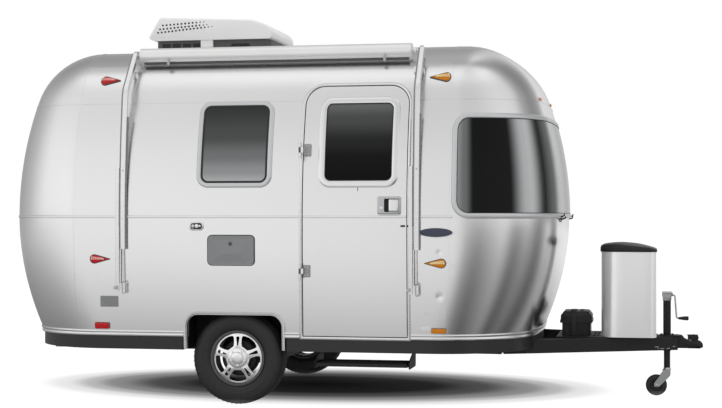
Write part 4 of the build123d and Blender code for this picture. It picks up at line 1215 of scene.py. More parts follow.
@dataclass
class Trims:
    """Belt line, rub rail, skirt and wheel-arch trims."""

    front_end: float = ahead(1.531)

    @staticmethod
    def run(first: float, last: float, z: float) -> Array:
        """Level line on the wall between two perimeter places."""
        count = max(2, int(math.ceil((last - first) / 0.03)) + 1)
        us = np.linspace(first, last, count)
        return np.stack([us, np.full(count, float(SHELL.s_of(z)))], -1)

    @staticmethod
    def below(points: Array, proud: Real) -> Array:
        """Upright face under the sill for rows of (u, z), following the sill's plan.

        Args:
            points: rows of (u, z).
            proud: distance outside the face.

        Returns:
            The points.
        """
        u, z = points[..., 0], points[..., 1]
        low = np.full(u.shape, SHELL.sill_z - SHELL.belt_z)
        along = SHELL.skin(u + TINY, low) - SHELL.skin(u - TINY, low)
        out = unit(np.stack([along[..., 1], -along[..., 0], np.zeros(u.shape)], -1))
        base = SHELL.skin(u, low) + np.asarray(proud)[..., None] * out
        return np.concatenate([base[..., :2], z[..., None]], -1)

    def build(self) -> None:
        """Build every trim."""
        o = OPENINGS
        total = SHELL.total
        door_low, door_high = o.door[0][0] - 0.026, o.door[1][0] + 0.026
        runs = [(SHELL.across(self.front_end), total + door_low), (door_high, self.front_end)]
        fit("belt_moulding", join(moulding(self.run(a, b, SHELL.belt_z), BELT_PROFILE, False)
            for a, b in runs), "trim", ["belt_trim"])
        rail = mm((20.5, 1), (20.5, 6), (16, 12.5), (8, 13.5), (3, 9), (-3, 6), (-9, 8.5), (-15, 8.5),
            (-20.5, 5), (-20.5, 1))
        arch_low, arch_high = o.arch[0][0] - 0.02, o.arch[1][0] + 0.02
        across = SHELL.across
        runs = [(door_high, across(arch_high)), (across(arch_low), total + arch_low), (arch_high, door_low)]
        fit("rub_rail_moulding", join(moulding(self.run(a, b, 0.4965), rail, False) for a, b in runs),
            "trim", ["rub_rail"])
        well = (ahead(-0.375), ahead(0.375))
        skirts = []
        for first, last in ((well[1], across(well[1])), (across(well[0]), total + well[0])):
            outline = np.array([(first, 0.385), (last, 0.385), (last, 0.474), (first, 0.474)])
            skirts.append(sheet(Pattern(outline, (), 0.045), -0.001, 0.028, (0, 0, 0), surface=self.below))
        fit("body_skirt", skirts, "skirt", ["skirt"])
        lip = mm((-4, -30), (-1, -30), (0, 6), (4, 11.5), (18, 12.5), (20, 9), (20, 1), (4, 1), (-4, 4))
        low, high, radius = o.arch
        bend = rounded(low, high, radius, 10)[:22]
        path = np.concatenate([[(high[0], 0.392)], bend, [(low[0], 0.392)]])
        path = SHELL.on_wall(fill_in(path, 0.03, closed=False))
        parts = [moulding(line, lip, False) for line in (path, o.mirrored(path))]
        fit("arch_mouldings", parts, "trim", ["arch_trims"])


@dataclass
class EntryDoor:
    """Entry door: leaf, window with its raised surround, and the frame that it closes into."""

    skin: float = 0.006

    def build(self) -> None:
        """Build the door and the frame that it closes into."""
        o = OPENINGS
        low, high, _ = o.door
        hole = o.loop(o.door_glass)
        leaf = sheet(Pattern(o.doorway(), [hole], 0.055), 0.0, self.skin, (0, 0, 0))
        core = sheet(Pattern(o.doorway(-0.02), [hole], 0.08), -self.skin, 0.044, (1, 1, 1))
        belt_mesh = moulding(Trims.run(low[0] + 0.002, high[0] - 0.002, SHELL.belt_z), BELT_PROFILE, False)
        fit("entry_door_leaf", [leaf, core], ["door_skin", "liner"], ["entry_door"],
            body="entry_door")
        fit("entry_door_belt", belt_mesh, "trim", ["entry_door"], body="entry_door")
        pane = sheet(Pattern(hole, (), 0.08), -0.001, 0.005, (0, 0, 0))
        fit("entry_door_glass", pane, "door_tint", ["door_glass"], body="entry_door")
        ring = mm((-2, -2), (47, -2), (46.5, 0.6), (41, 4), (30, 6.6), (14, 7.2), (5, 6.2), (0, 4), (-2, 1))
        fit("entry_door_surround", moulding(hole, ring), "door_skin", ["door_window_frame"],
            body="entry_door")
        seal = mm((-5, -2), (1, -2), (1, 4.5), (-5, 2.5))
        fit("entry_door_seal", moulding(hole, seal), "seal", body="entry_door")
        frame = mm((0, -4), (20, 0), (20, 3.5), (16, 7.5), (10, 8.8), (4, 7.5), (0, 4))
        fit("doorway_frame", moulding(o.doorway(0.006), frame), "trim")


class PlainNodes:
    """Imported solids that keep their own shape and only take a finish."""

    @staticmethod
    def dress(frame: dict) -> None:
        """Assign each shown node the finish of its material slot."""
        slots = {part["node"]: part["material_slot"] for part in frame["record"].get("subparts", [])}
        for name, node in frame["nodes"].items():
            paint = finish(SLOT_FINISHES[slots[name]])
            for place in node.material_slots:
                place.material = paint


# ----------------------------------------------------------------------------- wheels
@dataclass
class RoadWheels:
    """Both road wheels: ribbed tyre, alloy rim with five twin spokes, centre cap, drum."""

    height: float = 0.325
    middle_y: float = 1.03
    spokes: int = 5
    sipes: int = 60
    tread: tuple = mm((324.5, 10), (316.5, 12.5), (316.5, 18), (324.2, 20.5), (323.6, 46), (315.5, 48.5),
        (315.5, 54), (322.4, 56.5), (319.5, 74), (315, 82))
    sidewall: tuple = mm((308, 89.5), (299, 94.8), (297.5, 94), (289.5, 96.8), (288, 98.2), (262, 101.6),
        (245, 101.8), (243.5, 100.6), (224, 97.2), (222.5, 98.2), (210, 92), (201.5, 86), (197.5, 82.5),
        (194, 80))
    barrel: tuple = mm((89.5, 180), (90.5, 190), (88.5, 194.5), (84, 194.5), (83, 180), (40, 177.8),
        (-82, 177.5), (-84, 194), (-90, 194.5), (-90, 182), (-70, 170), (48, 170), (68, 172.2), (80, 174.5))
    cap: tuple = mm((60, 71), (80.5, 71), (84.5, 68.5), (86.5, 63), (87.5, 43), (90.5, 40.5), (92, 36),
        (93, 18), (93.2, 0.5))
    hub: tuple = mm((-60, 20.5), (-60, 62), (52, 62), (60, 70), (66, 70), (66, 20.5))
    drum: tuple = mm((-55, 63), (-55, 128), (20, 128), (30, 118), (34, 63))
    window: tuple = mm((84, 24), (100, 40), (124, 56), (139, 63), (149, 59), (157, 42), (162.5, 21),
        (164, 0))
    slot: tuple = mm((86, 3.5), (118, 8.5), (143, 12.5), (150, 9), (152, 0))

    def tyre(self, side: int) -> Mesh:
        """Tyre with five ribs and plain rings on its sidewalls."""
        half = self.tread + self.sidewall
        profile = [(-y, r) for r, y in reversed(half)] + [(y, r) for r, y in half]
        inner = [(0.079, 0.18), (-0.079, 0.18)]
        return turned((AXLE_X, side * self.middle_y, self.height), Y_AXIS, profile + inner, 96, True)

    def cuts(self, side: int) -> Mesh:
        """Sipes of both shoulder ribs, shown as near-black bars let into the rubber: painted shade in the
        grooves.
        """
        bar = mm((-14.5, -1.8), (13.5, -1.8), (13.5, 1.8), (-14.5, 1.8))
        parts = []
        for k in range(self.sipes):
            for edge in (-1, 1):
                angle = 2 * math.pi * (k + 0.25 * edge) / self.sipes
                spoke = np.array([math.cos(angle), 0.0, math.sin(angle)])
                tangent = np.array([-math.sin(angle), 0.0, math.cos(angle)])
                centre = np.array([AXLE_X, side * self.middle_y + edge * 0.0725,
                    self.height]) + 0.3168 * spoke
                parts.append(prism(bar, centre, (0, edge, 0), tangent * edge, 0.0045))
        return join(parts)

    def holes(self) -> list[Array]:
        """Five large windows and the five slots that split the spokes, in face view."""
        made = []
        for k in range(2 * self.spokes):
            half = np.array(self.window if k % 2 else self.slot)
            loop = np.concatenate([half * (1, -1), half[-2::-1]])
            angle = math.pi / 2 + math.pi * k / self.spokes
            turn = np.array([(math.cos(angle), math.sin(angle)), (-math.sin(angle), math.cos(angle))])
            made.append(loop @ turn)
        return made

    def face(self, side: int) -> Mesh:
        """Spoked face: a dished sheet pierced by its windows, crowned along each spoke."""
        def surface(flat: Array, out: Real) -> Array:
            """Dish: level in the middle, sunk towards the rim by a power of the radius."""
            radius = np.linalg.norm(flat, axis=1)
            dish = 0.069 + 0.01 * np.clip((0.165 - radius) / 0.09, 0, 1) ** 1.4
            across = side * (self.middle_y + dish + out)
            return np.stack([AXLE_X - side * flat[:, 0], across, self.height + flat[:, 1]], -1)

        def crown(flat: Array) -> Array:
            """Extra height: a parabola across each spoke, fading at both its ends."""
            radius = np.linalg.norm(flat, axis=1)
            turn = (np.arctan2(flat[:, 1], flat[:, 0]) - math.pi / 2) * self.spokes / (2 * math.pi)
            off_spoke = np.abs((turn + 0.5) % 1.0 - 0.5) * 2
            ends = np.clip((radius - 0.07) / 0.02, 0, 1) * np.clip((0.171 - radius) / 0.012, 0, 1)
            return 0.0035 * np.clip(1 - (off_spoke / 0.55) ** 2, 0, 1) * ends

        return sheet(Pattern(0.174 * circle(96), self.holes(), 0.007), 0.0, 0.018, (0, 1, 1), crown,
            surface=surface)

    def studs(self, side: int) -> Mesh:
        """Five wheel nuts standing round the centre cap's edge."""
        parts = []
        for k in range(self.spokes):
            angle = math.pi / 2 + 2 * math.pi * (k + 0.5) / self.spokes
            place = (AXLE_X + 0.052 * math.cos(angle), side * (self.middle_y + 0.084),
                self.height + 0.052 * math.sin(angle))
            parts.append(turned(place, (0, side, 0), mm((0, 9.5), (4.2, 9.5), (5.5, 8), (5.8, 0.5)), 6))
        return join(parts)

    def build(self) -> None:
        """Build both wheels."""
        for side, name in ((-1, "curb"), (1, "street")):
            body, origin, out = f"wheel_{name}", (AXLE_X, side * self.middle_y, self.height), (0, side, 0)
            wheel = [f"wheel_{name}"]
            fit(f"{name}_tyre", self.tyre(side), "tyre", [f"tyre_{name}"], 28, body=body)
            fit(f"{name}_tyre_sipes", self.cuts(side), "well", [f"tyre_{name}"], body=body)
            fit(f"{name}_rim_barrel", turned(origin, out, self.barrel, 96, True), "grey", wheel,
                30, body=body)
            # The face's back and the walls of its windows take a darker copy of the alloy: painted shade.
            fit(f"{name}_wheel_face", self.face(side), ["alloy", "alloy_shade_painted"], wheel, body=body)
            fit(f"{name}_centre_cap", turned(origin, out, self.cap, 64), "alloy", wheel, 24,
                body=body)
            fit(f"{name}_wheel_nuts", self.studs(side), "alloy", wheel, body=body)
            fit(f"{name}_hub", turned(origin, out, self.hub, 48, True), "black", wheel, body=body)
            fit(f"{name}_brake_drum", turned(origin, out, self.drum, 64, True), "black", wheel,
                body=body)


# ------------------------------------------------------------------------- roof and awning
def soften(corners: Line, radius: float, steps: int = 4) -> Array:
    """Closed outline with each corner rounded; every corner gives the same count of points.

    Args:
        corners: the sharp corners.
        radius: length that each curve takes off its sides.
        steps: straight pieces in each curve.

    Returns:
        The outline.
    """
    points = np.asarray(corners, float)
    share = np.linspace(0, 1, steps + 1)[:, None]
    parts = []
    for before, here, after in zip(np.roll(points, 1, 0), points, np.roll(points, -1, 0)):
        back, ahead_way = before - here, after - here
        cut = min(radius, 0.48 * np.linalg.norm(back), 0.48 * np.linalg.norm(ahead_way))
        start, end = here + cut * unit(back), here + cut * unit(ahead_way)
        parts.append((1 - share) ** 2 * start + 2 * share * (1 - share) * here + share ** 2 * end)
    return np.concatenate(parts)


def loft(sections: Sequence[Array]) -> Mesh:
    """Solid through sections in space that all have the same count of points."""
    return grid_mesh(np.stack(sections), False)


def bar(x: float, half: float, path: Line, thick: float) -> Mesh:
    """Flat bar along a (y, z) line: the line is moved out by half the thickness each way.

    Args:
        x: place of its middle.
        half: half of its width along X.
        path: the (y, z) line.
        thick: its thickness.

    Returns:
        The mesh.
    """
    line = np.asarray(path, float)
    along = unit(np.gradient(line, axis=0))
    out = np.stack([-along[:, 1], along[:, 0]], -1)
    edge = 0.25 * min(half, thick / 2)
    corners = ((-half, -thick / 2), (-half, thick / 2 - edge), (-half + edge, thick / 2),
        (half - edge, thick / 2), (half, thick / 2 - edge), (half, -thick / 2))
    rows = [np.column_stack([np.full(len(line), x + across), line + off * out]) for across, off in corners]
    return loft(np.stack(rows, 1))


@dataclass
class RoofUnit:
    """Air conditioner: base pan with louvres, brackets and a vented shroud."""

    rear: float = ahead(-0.92)
    front: float = ahead(0.06)
    half: float = 0.3446
    low: float = 2.656
    top: float = 2.835

    def side_view(self, lift: float) -> Array:
        """Side outline of the shroud, drawn in by lift at its upper edges."""
        corners = [(self.rear + 0.55 * lift, self.low + 0.022), (self.rear + 0.092 + 0.4 * lift,
            self.top - lift), (self.front - 0.165, self.top - 0.032 - lift), (self.front - 0.075,
            self.top - 0.062 - lift), (self.front - 0.03 - 0.4 * lift, self.low + 0.095 - lift),
            (self.front - 0.4 * lift, self.low + 0.05), (self.front - 0.012 - 0.3 * lift, self.low),
            (self.rear + 0.04 + 0.3 * lift, self.low)]
        return soften(corners, 0.024, 5)[::-1]

    def shroud(self) -> Mesh:
        """Shroud lofted across the roof, its long edges rounded over."""
        sections = []
        edge = 0.016
        turns = np.linspace(0, math.pi / 2, 7)
        rounding = [(edge * (1 - math.cos(a)), edge * (1 - math.sin(a))) for a in turns]
        stations = [(-self.half + off, lift) for off, lift in rounding]
        stations += [(0.0, 0.0)] + [(self.half - off, lift) for off, lift in reversed(rounding)]
        for y, lift in stations:
            flat = self.side_view(lift)
            sections.append(np.stack([flat[:, 0], np.full(len(flat), y), flat[:, 1]], -1))
        return loft(sections)

    def vents(self) -> Mesh:
        """Three rows of round vent holes on each side, smaller towards the front, drawn as black discs:
        painted shade inside the holes.
        """
        rows = ((ahead(-0.802), ahead(-0.478), 2.772, 2.792, 12), (ahead(-0.825), ahead(-0.454), 2.743,
            2.771, 14), (ahead(-0.84), ahead(-0.415), 2.717, 2.756, 16))
        parts = []
        for side in (-1, 1):
            for first, last, low, high, count in rows:
                for k, share in enumerate(np.linspace(0, 1, count)):
                    radius = 0.0078 * (1 - 0.62 * max(0.0, (k - count + 4) / 4))
                    place = (first + share * (last - first), side * (self.half - 0.0008),
                        low + share * (high - low))
                    parts.append(turned(place, (0, side, 0), [(-0.004, radius), (0.0011, radius)], 14))
        return join(parts)

    def build(self) -> None:
        """Build the unit."""
        middle = (self.rear + self.front) / 2 + 0.01
        base = block((middle - 0.448, -0.315, 2.535), (middle + 0.448, 0.315, 2.656), 0.06)
        fit("roof_unit_base", base, "grey", ["ac_base"], bevel=0.003)
        # Near-black blocks in the louvre slots: painted shade inside them.
        slots = []
        for side in (-1, 1):
            for k in range(4):
                x = ahead(-0.815) + 0.081 * k
                slots.append(block((x, min(side * 0.312, side * 0.3165), 2.596),
                    (x + 0.066, max(side * 0.312, side * 0.3165), 2.634)))
            slots.append(prism(soften([(ahead(-0.285), 2.59), (ahead(-0.115), 2.59), (ahead(-0.135), 2.626),
                (ahead(-0.265), 2.626)], 0.006), (0, side * 0.3125, 0), X_AXIS, Z_AXIS, -0.004 * side))
        fit("roof_unit_louvres", slots, "seal", ["ac_base"])
        brackets = []
        for side in (-1, 1):
            y = sorted((side * 0.316, side * 0.338))
            brackets.append(block((ahead(-0.505), y[0], 2.56), (ahead(-0.41), y[1], 2.6555)))
            y = sorted((side * 0.338, side * 0.3405))
            brackets += [block((ahead(x), y[0], 2.604), (ahead(x) + 0.02, y[1], 2.612)) for x in (-0.495,
                -0.44)]
        fit("roof_unit_brackets", brackets, "white", bevel=0.002)
        fit("roof_unit_shroud", self.shroud(), "white", ["ac_shroud"], 40)
        fit("roof_unit_vents", self.vents(), "plastic", ["ac_shroud"])


@dataclass
class Awning:
    """Rolled awning: roller with its slot, end caps, two arms with rafters, feet, knobs."""

    rear: float = ahead(-0.764)
    front: float = ahead(1.209)
    y: float = -0.935
    z: float = 2.477
    radius: float = 0.0515
    arms: tuple = (-0.815, 1.27)
    arm_line: tuple = ((-1.24, 1.09), (-1.243, 1.25), (-1.243, 1.45), (-1.236, 1.65), (-1.22, 1.88),
        (-1.19, 2.17), (-1.176, 2.215), (-1.15, 2.25), (-0.972, 2.487))
    channel_line: tuple = ((-1.23, 0.79), (-1.238, 0.95), (-1.24, 1.25), (-1.238, 1.56), (-1.234, 1.66))
    link_line: tuple = ((-1.175, 2.185), (-1.02, 2.345))
    side_shade_line: tuple = ((-1.23, 1.09), (-1.233, 1.3), (-1.227, 1.6), (-1.19, 2.02))
    mounts: tuple = ((-1.238, 0.82, 0.03), (-1.241, 1.5, 0.014), (-1.015, 2.335, 0.02))

    @staticmethod
    def feet(x: float, half: float, spots: Sequence[tuple[float, float, float]]) -> list[Mesh]:
        """Brackets from the wall out to the line y, centred at z with this half height."""
        inner = [float(SHELL.place(np.array([(x, float(SHELL.s_of(z)))]), 0.0)[0, 1]) + 0.004
            for _, z, _ in spots]
        return [block((x - half, y, z - tall), (x + half, wall, z + tall))
            for (y, z, tall), wall in zip(spots, inner)]

    def build(self) -> None:
        """Build the awning."""
        centre = (self.rear, self.y, self.z)
        turn = np.linspace(0, 2 * np.pi, 40, endpoint=False)
        ring = circle(40) * self.radius
        slot = np.abs((turn - math.radians(262) + np.pi) % (2 * np.pi) - np.pi) < 0.13
        ring[slot] *= 0.88
        lip = np.abs((turn - math.radians(200) + np.pi) % (2 * np.pi) - np.pi) < 0.09
        ring[lip] *= 1.02
        roll = [np.stack([np.full(40, x), self.y + ring[:, 0], self.z + ring[:, 1]], -1)
            for x in np.linspace(self.rear + 0.012, self.front - 0.012, 9)]
        fit("awning_roll", loft(roll), "awning", ["awning_roller"], 40)
        cap = [(-0.013, self.radius + 0.0006), (0.0, self.radius + 0.0006), (0.004, self.radius - 0.004),
            (0.005, 0.016)]
        caps = [turned(centre, (-1, 0, 0), cap + [(0.03, 0.014)], 40), turned((self.front, self.y, self.z),
            X_AXIS, cap + [(0.022, 0.016), (0.023, 0.024), (0.034, 0.024), (0.035, 0.013), (0.06, 0.013)],
            40)]
        fit("awning_roll_caps", caps, "awning", ["awning_roller"])
        # A near-black strip under the roller: painted shade where the roller shades the wall.
        painted_shade_strip = block((self.rear + 0.02, self.y - 0.01, self.z - 0.065), (self.front - 0.02,
            self.y + 0.01, self.z - 0.05))
        fit("awning_painted_shade_strip", painted_shade_strip, "grey", bevel=0.004)
        bars, dark, knobs = [], [], []
        for place in self.arms:
            x = ahead(place)
            bars.append(bar(x + 0.019, 0.017, self.arm_line, 0.026))
            bars.append(bar(x - 0.0225, 0.0145, self.channel_line, 0.02))
            bars.append(bar(x + 0.019, 0.01, self.link_line, 0.02))
            # Near-black bars along each arm, one in its groove and one beside it towards the front: painted
            # shade.
            dark.append(bar(x - 0.0025, 0.0048, self.arm_line[1:], 0.018))
            dark.append(bar(x + 0.0385, 0.0032, self.side_shade_line, 0.016))
            bars += [bar(x + off, 0.0035, ((-1.238, 0.8), (-1.236, 1.09)), 0.007) for off in (-0.002,
                0.016)]
            bars += self.feet(x, 0.034, self.mounts)
            head = soften([(self.y + 0.06, self.z + 0.02), (self.y - 0.012, self.z + 0.034),
                (self.y - 0.036, self.z + 0.012), (self.y - 0.036, self.z - 0.03),
                (self.y + 0.06, self.z - 0.03)], 0.014)
            bars.append(prism(head, (x - 0.001, 0, 0), Y_AXIS, Z_AXIS, 0.024))
            for across, y, z, size in ((0.019, -1.0205, 2.33, 0.012), (-0.036, -1.24, 0.818, 0.013),
                    (0.019, -1.2405, 1.3, 0.006), (0.019, -1.237, 1.64, 0.006)):
                knobs.append(turned((x + across, y - 0.012, z), (0, -1, 0), [(0.0, size), (0.0028, size),
                    (0.003, 0.6 * size), (0.0045, 0.5 * size), (0.0048, 0.001)], 18))
            loop = rounded((x + 0.012, 0.78), (x + 0.034, 0.862), 0.008, 5)
            path = np.column_stack([loop[:, 0], np.full(len(loop), -1.243), loop[:, 1]])
            knobs.append(tube(np.vstack([path, path[:1]]), 0.0032, 8))
        fit("awning_arm_bars", bars, "trim", ["awning_arms"], 40)
        fit("awning_arm_painted_shade_bars", dark, "grey_cover", ["awning_arms"])
        fit("awning_arm_fixings", knobs, "zinc", ["awning_arms"])
        clips = []
        for x in (ahead(-0.551), ahead(1.023)):
            clips.append(tube([(x, self.y - 0.04, self.z - 0.012), (x + 0.004, self.y - 0.049,
                self.z - 0.03), (x - 0.004, self.y - 0.046, self.z - 0.058), (x, self.y - 0.036,
                self.z - 0.08)], 0.0045, 8))
            clips.append(block((x - 0.01, self.y - 0.046, self.z - 0.07), (x + 0.01, self.y - 0.034,
                self.z - 0.04)))
        fit("awning_strap_clips", clips, "zinc", bevel=0.001)


# --------------------------------------------------------------------------------- tongue
def ring_wall(outline: Array, low: float, high: float, thick: float) -> Mesh:
    """Upright wall round an anticlockwise plan outline, closed over its two edges.

    Args:
        outline: the outer outline.
        low: height of its foot.
        high: height of its top.
        thick: thickness of the wall.

    Returns:
        The mesh.
    """
    before, after = outline - np.roll(outline, 1, 0), np.roll(outline, -1, 0) - outline
    mean = unit(before) + unit(after)
    inward = np.stack([-mean[:, 1], mean[:, 0]], -1)
    inner = outline + thick * unit(inward)
    rows = [np.column_stack([line, np.full(len(line), z)]) for line, z in ((outline, low), (outline, high),
        (inner, high), (inner, low))]
    return grid_mesh(np.stack(rows), True)


@dataclass
class Tongue:
    """A-frame, tray, coupler, wheeled jack, gas cover with its lid, and battery box."""

    jack_x: float = ahead(2.963)
    tip: float = ahead(3.222)
    rail_z: tuple = (0.34, 0.44)
    start: tuple = (ahead(1.816), 0.6)
    end: tuple = (ahead(3.0405), 0.029)
    cover_x: tuple = (ahead(2.492), ahead(2.884))
    cover_half: float = 0.31
    cover_z: tuple = (0.446, 1.062)
    battery: tuple = ((ahead(2.204), -0.145, 0.446), (ahead(2.408), 0.145, 0.535))
    caster: float = 0.077

    def cover_plan(self, grow: float) -> Array:
        """Plan of the gas cover, grown by a margin; the corners at the rear are larger."""
        turn = np.linspace(0, np.pi / 2, 9)
        corners = []
        for k, (x, y, r) in enumerate(((self.cover_x[1], 1, 0.045), (self.cover_x[0], 1, 0.115),
                (self.cover_x[0], -1, 0.115), (self.cover_x[1], -1, 0.045))):
            r += grow
            cx = x + grow - r if k in (0, 3) else x - grow + r
            cy = y * (self.cover_half + grow - r)
            angle = turn + k * np.pi / 2
            corners.append(np.stack([cx + r * np.cos(angle), cy + r * np.sin(angle)], -1))
        return np.concatenate(corners)

    def frame(self) -> None:
        """A-frame rails with rounded edges, and the slotted tray on them."""
        skew = math.atan2(self.start[1] - self.end[1], self.end[0] - self.start[0])
        half = 0.025 / math.cos(skew)
        rails = []
        for side in (-1, 1):
            plan = np.array([(self.start[0], side * (self.start[1] - half)),
                (self.start[0], side * (self.start[1] + half)), (self.end[0], side * (self.end[1] + half)),
                (self.end[0], side * (self.end[1] - half))])
            rails.append(prism(plan, (0, 0, self.rail_z[0]), X_AXIS, Y_AXIS, 0.1))
        fit("tongue_rails", rails, "black", ["a_frame_rails"], bevel=0.007, segments=3)
        plan = np.array([(ahead(2.17), -0.3), (ahead(2.49), -0.3), (ahead(2.9), -0.09), (ahead(2.9), 0.09),
            (ahead(2.49), 0.3), (ahead(2.17), 0.3)])
        holes = [rounded((ahead(x), y - 0.05), (ahead(x) + 0.02, y + 0.05), 0.009, 4) for x in (2.43, 2.455)
            for y in (-0.18, 0.0, 0.18)]

        def level(flat: Array, out: Real) -> Array:
            """Rows of (x, y) on the rails' tops."""
            return np.column_stack([flat, np.full(len(flat), self.cover_z[0]) + out])

        fit("tongue_tray_plate", sheet(Pattern(plan, holes, 0.08), 0.0, 0.006, (0, 0, 0), surface=level),
            "black", ["tongue_tray"])

    def coupler(self) -> None:
        """Cast coupler: channel, ball socket, latch lever and bolts; the safety chains."""
        sections = []
        for x, half, low, high, radius in ((self.end[0] - 0.012, 0.038, 0.3525, 0.4475, 0.006),
                (self.end[0] + 0.03, 0.038, 0.3525, 0.4475, 0.008), (self.end[0] + 0.05, 0.037, 0.3525,
                0.424, 0.012), (self.tip - 0.094, 0.0335, 0.3525, 0.408, 0.014), (self.tip - 0.076, 0.0355,
                0.3525, 0.4105, 0.02), (self.tip - 0.058, 0.0378, 0.3525, 0.4118, 0.026),
                (self.tip - 0.036, 0.0378, 0.3525, 0.4118, 0.028), (self.tip - 0.018, 0.033, 0.353, 0.405,
                0.025), (self.tip - 0.006, 0.0225, 0.356, 0.392, 0.017), (self.tip - 0.0005, 0.011, 0.362,
                0.38, 0.008)):
            flat = rounded((-half, low), (half, high), radius, 6)
            sections.append(np.column_stack([np.full(len(flat), x), flat]))
        body = [loft(sections), block((self.jack_x - 0.055, -0.07, 0.44), (self.end[0] + 0.01, 0.07,
            0.4478), 0.012)]
        lip = rounded((-0.0375, 0.3522), (0.0375, 0.358), 0.0025, 3)
        body.append(loft([np.column_stack([np.full(len(lip), x), lip]) for x in (self.tip - 0.11,
            self.tip - 0.02)]))
        fit("coupler_casting", body, "black", ["coupler"], 50, bevel=0.0015)
        lever = soften([(self.tip - 0.11, 0.412), (self.tip - 0.036, 0.412), (self.tip - 0.03, 0.43),
            (self.tip - 0.04, 0.4505), (self.tip - 0.108, 0.4515), (self.tip - 0.11, 0.44)], 0.006)
        parts = [prism(lever, (0, 0.0095, 0), X_AXIS, Z_AXIS, 0.019)]
        handle = [(self.tip - 0.118, 0, 0.4475), (self.tip - 0.07, 0, 0.4505), (self.tip - 0.035, 0,
            0.4485)]
        parts.append(tube(handle, 0.0115, 12, 0.28))
        for x in (self.tip - 0.1, self.tip - 0.046):
            parts.append(turned((x, -0.0125, 0.424), Y_AXIS, mm((0, 6), (25, 6)), 14))
        for x, z in ((self.end[0] + 0.005, 0.424), (self.end[0] + 0.005, 0.376), (self.end[0] + 0.07,
                0.38)):
            for side in (-1, 1):
                parts.append(turned((x, side * 0.0365, z), (0, side, 0), mm((0, 10.5), (6.5, 10.5),
                    (8, 8.5)), 6))
        for side in (-1, 1):
            for x in (self.jack_x - 0.04, self.jack_x + 0.04):
                parts.append(turned((x, side * 0.052, 0.447), Z_AXIS, mm((0, 8.5), (6, 8.5), (7.2, 7)), 6))
        fit("coupler_latch", parts, "black", ["coupler"], 40, bevel=0.0008)
        links = []
        for side in (-1, 1):
            for k in range(7):
                at = np.array([self.end[0] - 0.03 - 0.021 * k, side * (0.062 + 0.011 * k),
                    0.352 + 0.0035 * (k - 3) ** 2 * 0.5])
                spread = np.linspace(0, 2 * np.pi, 17)
                flat_way = np.array([0.0, 0.0, 1.0]) if k % 2 else np.array([0.46, 0.88 * side, 0.0])
                path = at + np.outer(0.015 * np.cos(spread), (-0.88, 0.46 * side, 0.0)) + np.outer(0.008
                    * np.sin(spread), flat_way)
                links.append(tube(path, 0.0026, 6))
        fit("safety_chains", links, "zinc", smooth=60)

    def jack(self) -> None:
        """Screw jack: tube, head, crank with grip, leg, swivel fork and caster."""
        x = self.jack_x
        post = turned((x, 0, 0), Z_AXIS, mm((332, 23.5), (330, 27), (334, 28), (706, 28), (706, 23.5)), 40,
            True)
        fit("jack_post", post, "black", ["jack_tube"])
        collar = turned((x, 0, 0), Z_AXIS, mm((700, 24), (700, 30.5), (704, 31.5), (728, 31.5), (728, 24)),
            40, True)
        head = [np.column_stack([np.full(24, at), rounded((-0.0305, low), (0.0305, high), 0.008, 5)])
            for at, low, high in ((x - 0.036, 0.744, 0.758), (x - 0.034, 0.744, 0.7655),
            (x + 0.032, 0.744, 0.7655), (x + 0.034, 0.744, 0.762))]
        skirt = ring_wall(rounded((x - 0.0355, -0.0305), (x + 0.0335, 0.0305), 0.01, 5), 0.728, 0.748,
            0.006)
        nose = turned((x + 0.033, 0, 0.745), X_AXIS, mm((0, 15), (6, 15), (9, 10), (10, 2)), 24)
        fit("jack_head", [collar, skirt, loft(head), nose], "zinc", ["jack_tube"], 50,
            bevel=0.001)
        bends = [(0.036, 0.74), (0.046, 0.74), (0.053, 0.7375), (0.057, 0.73), (0.058, 0.72),
            (0.068, 0.586), (0.07, 0.577), (0.076, 0.571), (0.086, 0.57), (0.15, 0.57)]
        crank = tube([(x + across, 0, z) for across, z in bends], 0.0062, 14)
        fit("jack_crank", crank, "zinc", ["jack_tube"], 70)
        grip = turned((x, 0, 0.57), X_AXIS, mm((82, 7.5), (84, 9), (100, 11), (128, 15), (148, 15.5),
            (154, 14), (156, 8)), 28)
        fit("jack_grip", grip, "plastic", ["jack_tube"])
        leg = turned((x, 0, 0), Z_AXIS, mm((208.5, 19), (210.5, 23), (639, 23), (640, 19)), 40)
        fit("jack_inner_leg", leg, "black", ["jack_leg"], body="jack_leg")
        cx, half = x - self.caster, 0.033
        socket = turned((x, 0, 0), Z_AXIS, mm((187, 30), (190, 31.8), (193, 27), (204.5, 26.2),
            (207.8, 24)), 36)
        crown = block((x - 0.034, -0.0345, 0.1865), (x + 0.025, 0.0345, 0.1918), 0.012)
        cheek = soften([(cx - 0.017, 0.063), (cx - 0.017, 0.092), (x - 0.03, 0.176), (x - 0.03, 0.1905),
            (x + 0.026, 0.1905), (x + 0.024, 0.15), (cx + 0.02, 0.066)], 0.012)
        parts = [socket, crown]
        for side in (-1, 1):
            parts.append(prism(cheek, (0, side * half + 0.003, 0), X_AXIS, Z_AXIS, 0.006))
            parts.append(turned((cx, side * (half + 0.0025), 0.077), (0, side, 0), mm((0, 11), (7, 11),
                (8.5, 8.5)), 6))
        parts.append(turned((cx, -0.036, 0.077), Y_AXIS, mm((0, 5.8), (72, 5.8)), 20))
        fit("jack_wheel_fork", parts, "zinc", ["jack_fork"], 40, body="jack_fork",
            bevel=0.0012)
        tread = mm((-23, 44), (-23, 64), (-21.5, 70.5), (-17, 75.2), (-10, 76.8), (10, 76.8), (17, 75.2),
            (21.5, 70.5), (23, 64), (23, 44), (19, 42.5), (-19, 42.5))
        fit("caster_tyre", turned((cx, 0, 0.077), Y_AXIS, tread, 64, True), "tyre", ["jack_wheel"],
            body="jack_wheel")
        hub = mm((-19, 43.5), (-14, 40), (-12, 20), (-22, 17), (-22.5, 6.2), (22.5, 6.2), (22, 17),
            (12, 20), (14, 40), (19, 43.5))
